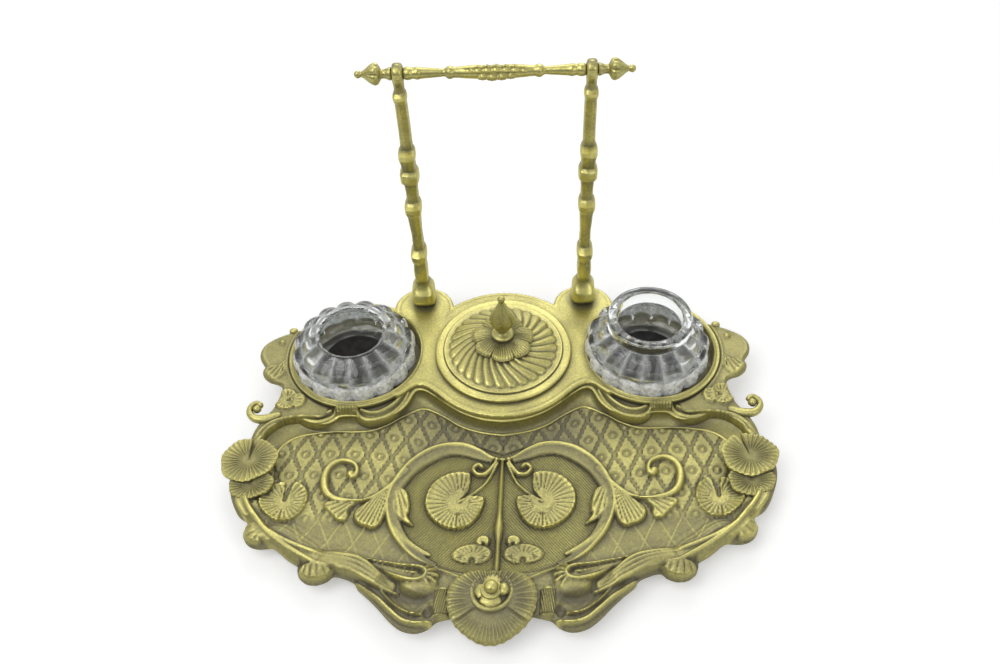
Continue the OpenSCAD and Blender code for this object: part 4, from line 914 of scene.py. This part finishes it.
# %% ruffled leaf and bud knob
def ruffle(cols=504, folds=7):
    """A thin leaf with seven lobes: |sin| makes the lobes and the notches between them, the lobes arch up
    and their edges curl down, and nine fine ribs run out into each."""
    a = np.linspace(0, 2 * np.pi, cols, endpoint=False)[None]
    r = np.array([2.2, 4, 6, 8, 10, 11.6, 13, 14.2, 15.2, 16.0, 16.6, 16.9, 16.8, 16, 13, 8, 2.2])[:, None]
    under = (np.arange(len(r)) > 11)[:, None]
    lobe = np.abs(np.sin(folds / 2 * (a + 0.25))) ** 0.7
    f = np.clip((r - 6) / 11, 0, 1)
    h = 34.0 - 1.9 * f ** 2 + 2.0 * f * (lobe - 0.5) * (1 - 0.5 * f) - 0.9 * smooth(0.86, 1.0, f)
    ribs = 0.24 * np.cos(9 * folds * a + 1.2 * np.sin(folds * a)) * smooth(3.5, 7, r)
    h += ~under * ribs - 0.9 * under
    rr = r * (1 + f * (0.16 * lobe - 0.13 + 0.025 * np.cos(2 * a + 1)))
    return np.stack([rr * np.cos(a), rr * np.sin(a), h + 0 * rr], -1)

leaf = ruffle()
patina_and_shade = np.clip(-1.6 * (leaf[..., 2] - soften(leaf[..., 2], 2)), -0.1, 0.5)
patina_and_shade += np.linspace(0.36, 0.06, len(leaf))[:, None]
round_piece("lid_ruffle", leaf, patina_and_shade, node="lid_leaf", body="lid", polished=True)

def petals(r, z, a):
    """Six petals folded round the bud: the radius swells and falls with the angle where the bud is."""
    on = smooth(40, 43, z) * smooth(59, 52, z)
    fold = np.abs(np.cos(3 * (a + 0.03 * (z - 46)))) ** 0.7
    fine = np.cos(18 * a + 0.4 * z)
    return r * (1 + on * (0.20 * fold - 0.10 + 0.02 * fine)), z

knob = [[0.1, 64.9], [1.2, 64.6], [2.0, 63.6], [2.1, 62.6], [1.5, 61.4], [1.5, 60.6], [2.0, 59.6],
        [2.6, 58], [3.6, 55.4], [4.9, 52.4], [5.9, 49.4], [6.2, 46.6], [5.7, 44], [4.6, 42.2], [3.4, 41],
        [2.8, 39.6], [2.7, 38.4], [3.6, 37.4], [4.8, 36.9], [5.9, 36.3], [6.2, 35.5], [5.9, 34.8],
        [5.2, 34.2], [0.1, 33.8]]
bud = turned(knob, 64, steps=3, swell=petals)
round_piece("lid_bud", bud, 0.16, (0.16, 0.16), node="lid_knob", body="lid", polished=True)
print("knob top", knob[0][1], "mm up")

# %% [markdown]
# ## The pen rest
# Each upright is a chain of C-scrolls seen from the side, with ledges that hold a pen. It is a loft: rows
# go up the post, and each row is a rounded square between its front and back, with its own half width and
# a shallow groove along each face. Narrow stretches are darker, as cloths only reach the swellings.

# %% uprights
BACK = [[0, 6], [3, 8.5], [10, 9], [14, 7.2], [16, 6.2], [24, 5.4], [34, 6.6], [44, 7.6], [52, 6],
        [62, 4.6], [72, 5.4], [80, 6.6], [90, 6], [95, 7], [100, 5.6], [105, 4.8], [112, 5.2], [124, 5.6],
        [136, 4.4], [148, 3], [152.6, 3.4], [156, 4.7], [158, 4.9], [160, 4.7], [162.2, 3.0], [163, 0.8]]
FRONT = [[0, -3.4], [3, -6.4], [7, -8.6], [11, -7.6], [14, -4.6], [16, -3.2], [18, -3], [22, -4.6],
         [28, -5.6], [34, -5.2], [38, -6.9], [41.4, -6.8], [42.1, -4.6], [42.8, -2.4], [54, -2],
         [62, -3.6], [68, -5], [73, -6.9], [76.2, -6.7], [76.9, -4.4], [77.6, -2.2], [84, -2], [91, -3],
         [93.2, -5.6], [98, -5.6], [99.8, -3.4], [104, -5], [109, -6.5], [111.8, -6.2], [112.5, -4],
         [113.2, -1.8], [124, -1.8], [136, -3], [142, -3.9], [144.8, -5.2], [147, -5.0], [147.7, -3.4],
         [148.4, -2.6], [152, -3], [155, -4.6], [158, -4.9], [160.6, -4.5], [162.2, -3.0], [163, -0.8]]
HALF = [[0, 6.5], [3, 6.8], [11, 6.6], [13, 6.4], [15, 5.2], [18, 3.5], [23, 3.9], [28, 4.1], [34, 3.5],
        [38, 4.5], [41.6, 4.5], [43, 3.2], [54, 3.0], [62, 3.4], [70, 3.7], [73, 4.6], [76.4, 4.6],
        [78, 3.3], [84, 3.3], [91, 3.7], [93.4, 5.0], [98, 5.0], [100.2, 3.8], [105, 3.8], [109, 4.5],
        [112, 4.4], [113.4, 3.2], [124, 3.1], [136, 3.1], [142, 3.0], [145, 3.6], [147.2, 3.5],
        [148.4, 2.5], [153, 2.6], [156, 2.9], [160, 2.9], [162.4, 2.4], [163, 1.4]]
h = np.r_[0.02, 0.5, np.arange(1.2, 162.4, 0.7), 162.6, 162.97]
back, front, half = (np.interp(h, *np.array(t).T) for t in (BACK, FRONT, HALF))
POST_X, POST_Y = 46.9, 40.0
a = np.linspace(0, 2 * np.pi, 36, endpoint=False)
SQUARE = 0.62  # 1 gives a round section, and less a squarer one
sx, sy = (np.sign(f(a)) * np.abs(f(a)) ** SQUARE for f in (np.cos, np.sin))
fluted = (smooth(18, 26, h) * smooth(150, 140, h))[:, None]
groove = 1 - 0.10 * np.exp(-((np.abs(np.cos(a)) - 0.35) / 0.22) ** 2) * fluted
aged = np.interp(h, [0, 20, 60, 163], [0.10, 0.0, 0.09, 0.17])
narrow = np.clip((soften(half[None], 60)[0] - half) * 0.55, -0.25, 0.5)
for side, s in (("left", -1), ("right", 1)):
    x = s * POST_X + half[:, None] * sx
    y = POST_Y + (back + front)[:, None] / 2 + (back - front)[:, None] / 2 * sy * groove
    post = np.stack([x, y, DECK + h[:, None] + 0 * x], -1)
    round_piece("post_" + side, post[::-1], (aged + narrow)[::-1], node=side + "_upright", polished=True)

# %% crossbar and finials
def along_x(p, y, z):
    """Turns a form that stands on the Z axis so that it lies along X: x, y, z become z, x, y."""
    return np.stack([p[..., 2], p[..., 0] + y, p[..., 1] + z], -1)

BAR, POLISH = DECK + 158, 0.10
half_bar = [[3.2, 11], [3.0, 14], [2.7, 17], [2.6, 19.4], [3.0, 20.6], [3.2, 21.7], [2.8, 22.8],
            [1.9, 24.2], [2.1, 27], [2.45, 32], [2.7, 35.4], [3.1, 37.2], [2.8, 38.6], [2.6, 39.6],
            [3.0, 40.6], [3.2, 41.8], [3.0, 43], [2.6, 43.9]]
middle = [[3.3, 8], [3.0, 4], [3.0, 0], [3.0, -4], [3.3, -8]]
bar = half_bar[::-1] + middle + [[r, -x] for r, x in half_bar]
bar = [[1.7, 46.7], [1.75, 44.1]] + bar + [[1.75, -44.1], [1.7, -46.7]]
round_piece("bar", along_x(turned(bar, 32, steps=4), POST_Y, BAR), POLISH, (POLISH, POLISH),
            node="crossbar", polished=True)
for k, (x, y, z, r) in enumerate((
        (-12.4, -1.0, 1.2, 2.6), (-8.0, -1.2, 1.5, 2.9), (-3.6, -1.4, 1.8, 3.1), (0.8, -1.5, 2.0, 3.2),
        (5.2, -1.4, 1.8, 3.1), (9.6, -1.2, 1.5, 2.9), (-5.8, -2.2, -0.8, 2.8), (-1.2, -2.4, -1.0, 3.0),
        (3.4, -2.3, -0.9, 2.9), (7.8, -2.0, -0.7, 2.7), (14, -1.0, 1.0, 2.6))):
    y, z = y + POST_Y, z + BAR
    rows = [[x - 0.4 * r, y, z, 0.8 * r, 0.7 * r], [x, y, z + 0.2, r, 0.85 * r],
            [x + 0.4 * r, y, z, 0.8 * r, 0.7 * r]]
    flower = swept(rows, section=circle(30, 5, 0.3), steps=4, up=(0, 1, 0.2))
    round_piece("bar_flower_%d" % k, flower, node="crossbar", polished=True)

def acorn(r, z, a):
    """Six petals round the acorn: its radius swells with the angle near its widest place."""
    on = smooth(5.2, 7, z) * smooth(13.5, 9.5, z)
    return r * (1 + on * (0.24 * np.abs(np.cos(3 * a)) ** 0.5 - 0.14)), z

finial = [[0.1, 18.05], [0.9, 17.8], [1.7, 17], [1.9, 16.2], [1.6, 15.2], [1.3, 14.6], [1.7, 13.8],
          [2.4, 12.8], [3.5, 11.2], [4.5, 9.4], [4.9, 8.0], [4.6, 6.6], [3.6, 5.6], [2.5, 5.0],
          [2.2, 4.2], [2.3, 3.0], [2.7, 2.0], [3.1, 1.0], [3.1, 0.3], [2.9, 0.0], [0.1, 0.0]]
for side, s in (("left", -1), ("right", 1)):
    form = along_x(turned(finial, 48, steps=4, swell=acorn) + [0, 0, 49.95], POST_Y, BAR)
    round_piece("finial_" + side, form, 0.12, (0.12, 0.12), node=side + "_finial", polished=True,
                mirror=s < 0)
print("bar", BAR, "mm above the table")
# %% [markdown]
# ## Glass inkwells
# Pressed glass is thick, so it is modelled as a solid with the well cut into it: rows run from the middle
# of the well's floor up its wall, over the lip and down outside. Sixteen gadroons swell the outside from
# the lip right down to the seat. A value on each point marks a band above the seat, whose edge follows the
# gadroons, and the valleys between them; there the glass is painted milky white, a painted reflection that
# stands in for the bright surround seen in the glass. Rays that go to a lamp pass straight through with a
# little loss, so that the seat below is lit.

# %% clear glass
clear_glass, nodes, links, shader = new_material("clear_glass")
shader.inputs["Base Color"].default_value = (0.95, 0.965, 0.955, 1)
shader.inputs["IOR"].default_value = 1.5
coords = nodes.new("ShaderNodeTexCoord").outputs["Object"]
# painted reflection: where a point's value is high the glass turns milky white, standing in for the bright
# surround
painted_reflection = nodes.new("ShaderNodeAttribute")
painted_reflection.attribute_name = "painted_reflection"
clouds = maths(nodes, links, "MULTIPLY_ADD", noise(nodes, links, coords, 0.40, 5), 1.6, 0.02)
painted_white = maths(nodes, links, "MULTIPLY", painted_reflection.outputs["Fac"], clouds)
clear = maths(nodes, links, "MULTIPLY_ADD", painted_white, -0.95, 1.0, clamp=True)
links.new(clear, shader.inputs["Transmission Weight"])
links.new(maths(nodes, links, "MULTIPLY_ADD", painted_white, 0.30, 0.02), shader.inputs["Roughness"])
wavy = nodes.new("ShaderNodeBump")
wavy.inputs["Strength"].default_value = 0.30
wavy.inputs["Distance"].default_value = 0.0005
links.new(noise(nodes, links, coords, 0.22, 2), wavy.inputs["Height"])
links.new(wavy.outputs[0], shader.inputs["Normal"])
path = nodes.new("ShaderNodeLightPath")
through = nodes.new("ShaderNodeBsdfTransparent")
through.inputs[0].default_value = (0.62, 0.64, 0.63, 1)
either = nodes.new("ShaderNodeMixShader")
links.new(path.outputs["Is Shadow Ray"], either.inputs[0])
links.new(shader.outputs[0], either.inputs[1])
links.new(through.outputs[0], either.inputs[2])
links.new(either.outputs[0], nodes["Material Output"].inputs[0])
print("glass ready")

# %% dried ink
dry_ink, nodes, links, shader = new_material("dry_ink")
coords = nodes.new("ShaderNodeTexCoord").outputs["Object"]
spots = noise(nodes, links, coords, 0.25, 5)
links.new(ramp(nodes, links, spots, [(0.35, (0.006, 0.0055, 0.005)), (0.65, (0.018, 0.0155, 0.014))]),
          shader.inputs["Base Color"])
shader.inputs["Roughness"].default_value = 0.6
shader.inputs["Specular IOR Level"].default_value = 0.15
print("ink ready")

# %% wells
LOBES = 16
MELON = curve([[0, 27.5], [2, 30.4], [5, 32.8], [8, 34.2], [10, 34.7], [13, 34.8], [15.5, 34.8],
               [18, 34.3], [20.5, 33.0], [23, 30.8], [25.2, 28.0], [27, 25.0], [28.2, 22.6],
               [29.0, 20.6]], 4)
SWELL = np.array([[0, 0.3], [2, 1.0], [5, 2.2], [9, 3.0], [16, 3.3], [20, 3.5], [24, 3.2], [27, 2.2],
                  [28.5, 1.0], [29, 0.5]])

def well(centre, mouth, lip, turn):
    """Outside radius = MELON(h) - SWELL(h) * (1 - |sin 8 a| ^ 0.7) in lobes that start at the angle turn;
    the well inside is smooth. Returns the points and, for each, how much painted reflection it gets."""
    cavity = [[0.3, 5.5], [12, 5.6], [19, 5.9], [23, 7.2], [25.6, 9.2], [27.3, 12.6], [27.6, 15.4],
              [27.2, 18.4], [25.6, 21.6], [23, 24.2], [mouth + 1.6, 25.8], [mouth + 0.2, 27.2],
              [mouth, 28.6]]
    inner = curve(cavity, 3)
    outer = MELON[::-1, ::-1]
    foot_rows = np.array([[26.8, 0.0], [20, 0.0], [8, 0.0], [0.3, 0.0]])
    form = np.vstack([inner, lip, outer, foot_rows])
    row, bare = np.arange(len(form))[:, None], len(inner) + len(lip)
    on = (row >= bare) & (row < bare + len(outer))
    bulge = lambda a: np.abs(np.sin(LOBES / 2 * (a - turn)))

    def gadroons(r, z, a):
        return r - on * np.interp(z, *SWELL.T) * (1 - bulge(a) ** 0.7), z + FLOOR

    high, wave = form[:, 1:2], bulge(np.linspace(0, 2 * np.pi, LOBES * 18, endpoint=False))
    # painted reflection: a white band above the seat and white lines in the gadroons' valleys
    reflection_band = smooth(6, 9, high) * smooth(17.6 + 3.4 * wave, 16.2 + 3.4 * wave, high)
    valley_reflections = 0.5 * (1 - wave) ** 1.6 * smooth(16, 19, high)
    return turned(form, LOBES * 18, centre, swell=gadroons), on * (reflection_band + valley_reflections + 0.02)

PLAIN_LIP = [[17.6, 28.9], [17.9, 29.35], [18.5, 29.6], [19.4, 29.55]]
COLLAR = [[18.0, 33], [18.0, 37.2], [18.3, 37.9], [18.9, 38.3], [21.8, 38.35], [22.9, 37.9], [23.4, 36.8],
          [23.4, 33.2], [23.0, 31.6], [22.2, 30.4], [21.6, 29.8], [21.4, 29.4]]
for side, centre, mouth, turn, lip in (("left", (-84.4, -1.0), 17.5, math.radians(3), PLAIN_LIP),
                                       ("right", (81.1, -0.7), 18.0, math.radians(11.25), COLLAR)):
    shape, band = well(centre, mouth, lip, turn)
    points, faces = closed_grid(shape)
    obj = piece("glass_" + side, points, faces, side + "_well", clear_glass, crisp=60,
                marks={"painted_reflection": np.r_[band.ravel(), 0, 0]})
    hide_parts(side + "_inkwell")
    pool = [[0.3, 6.6], [12, 6.55], [17.4, 6.7], [18.2, 6.4], [17.4, 6.0], [12, 5.8], [0.3, 5.7]]
    points, faces = closed_grid(turned(pool, 64, centre) + [0, 0, FLOOR])
    piece("ink_" + side, points, faces, side + "_well", dry_ink)

# %% [markdown]
# ## Finishes of the carried-over nodes
# The cup, the nut, the screws and washers and the feet keep their CAD meshes, and only get the dull brass.

# %% plain nodes
PLAIN = ("stamp_cup", "lid_nut", "left_upright_screw", "right_upright_screw", "left_upright_washer",
         "right_upright_washer", "front_left_foot", "front_right_foot", "back_left_foot", "back_right_foot")
for obj in bpy.data.objects:
    if obj.type == "MESH" and obj.name.split(".")[0] in PLAIN:
        obj.data.materials.clear()
        obj.data.materials.append(dull_brass)
print(len(PLAIN), "plain nodes finished")

# %% [markdown]
# ## Stage, light and camera
# A pale floor and a white surround. Metal only looks like metal with something to mirror, so mirrored rays
# find a surround that is bright behind the object and dark toward the camera. Seen straight or through the
# glass it is white, and it lights the object evenly from all round.

# %% floor
floor, nodes, links, shader = new_material("floor")
shader.inputs["Base Color"].default_value = (0.80, 0.80, 0.80, 1)
shader.inputs["Roughness"].default_value = 0.9
shader.inputs["Specular IOR Level"].default_value = 0.0

def seen_by(nodes, links):
    """1 for rays from the camera or through the glass and 0 for others, and all the kinds of ray."""
    path = nodes.new("ShaderNodeLightPath").outputs
    return maths(nodes, links, "MAXIMUM", path["Is Camera Ray"], path["Is Transmission Ray"]), path

seen, _ = seen_by(nodes, links)
shader.inputs["Emission Color"].default_value = (1, 1, 1, 1)
links.new(maths(nodes, links, "MULTIPLY", seen, 0.35), shader.inputs["Emission Strength"])
mesh = bpy.data.meshes.new("floor")
mesh.from_pydata([(-4, -4, 0), (4, -4, 0), (4, 4, 0), (-4, 4, 0)], [], [(0, 1, 2, 3)])
mesh.materials.append(floor)
ground_plane = bpy.data.objects.new("floor", mesh)
bpy.context.collection.objects.link(ground_plane)
print("floor laid")

# %% surround
world = bpy.data.worlds.new("surround")
world.use_nodes = True
bpy.context.scene.world = world
nodes, links = world.node_tree.nodes, world.node_tree.links
nodes.clear()
way = nodes.new("ShaderNodeTexCoord").outputs["Generated"]
split = nodes.new("ShaderNodeSeparateXYZ")
links.new(way, split.inputs[0])
toward = maths(nodes, links, "MULTIPLY_ADD", split.outputs["Y"], 0.5, 0.5)
grey = lambda g: (g, g, g)
mirrored = ramp(nodes, links, toward, [(0.0, grey(0.14)), (0.35, grey(0.26)), (0.62, grey(0.62)),
                                       (1.0, grey(0.85))])
seen, path = seen_by(nodes, links)
plain = nodes.new("ShaderNodeBackground")
plain.inputs[0].default_value = (1, 1, 1, 1)
plain.inputs[1].default_value = 0.40
shine = nodes.new("ShaderNodeBackground")
links.new(mirrored, shine.inputs[0])
white = nodes.new("ShaderNodeBackground")
white.inputs[0].default_value = (1, 1, 1, 1)
first, second = nodes.new("ShaderNodeMixShader"), nodes.new("ShaderNodeMixShader")
for mix, ends in ((first, (path["Is Glossy Ray"], plain.outputs[0], shine.outputs[0])),
                  (second, (seen, first.outputs[0], white.outputs[0]))):
    for end, socket in zip(ends, mix.inputs):
        links.new(end, socket)
links.new(second.outputs[0], nodes.new("ShaderNodeOutputWorld").inputs[0])
print("surround ready")

# %% lamps
from mathutils import Matrix, Vector

def softbox(name, place, aim, size, watts):
    """A square area lamp that faces a point."""
    lamp = bpy.data.lights.new(name, "AREA")
    lamp.shape, lamp.size, lamp.energy = "SQUARE", size, watts
    obj = bpy.data.objects.new(name, lamp)
    obj.location = place
    obj.rotation_euler = (Vector(aim) - Vector(place)).to_track_quat("-Z", "Y").to_euler()
    bpy.context.collection.objects.link(obj)

softbox("key", (-0.55, -0.35, 1.15), (0, 0, 0), 0.9, 6.5)
softbox("fill", (0.8, -0.7, 0.9), (0, 0, 0), 0.8, 3.0)
softbox("back", (0.1, 1.0, 0.9), (0, 0.05, 0.05), 0.9, 4.0)
print("three softboxes")

# %% camera
azimuth, height, roll, reach = *np.radians([2.28, 47.49, -2.58]).tolist(), 0.5908
target = np.array([0.0005, 0.0751, 0.021])
back = np.array([math.sin(azimuth) * math.cos(height), -math.cos(azimuth) * math.cos(height),
                 math.sin(height)])
across = np.array([math.cos(azimuth), math.sin(azimuth), 0])
upward = np.cross(back, across)
across, upward = (math.cos(roll) * across + math.sin(roll) * upward,
                  math.cos(roll) * upward - math.sin(roll) * across)
lens = bpy.data.cameras.new("camera")
lens.lens, lens.sensor_width = 36.76, 36.0
camera = bpy.data.objects.new("camera", lens)
camera.matrix_world = Matrix([*np.stack([across, upward, back, target + reach * back], 1).tolist(),
                              [0, 0, 0, 1]])
bpy.context.collection.objects.link(camera)
scene = bpy.context.scene
scene.camera = camera
scene.view_settings.view_transform = "Standard"
print("camera", np.round(camera.matrix_world.translation, 4))
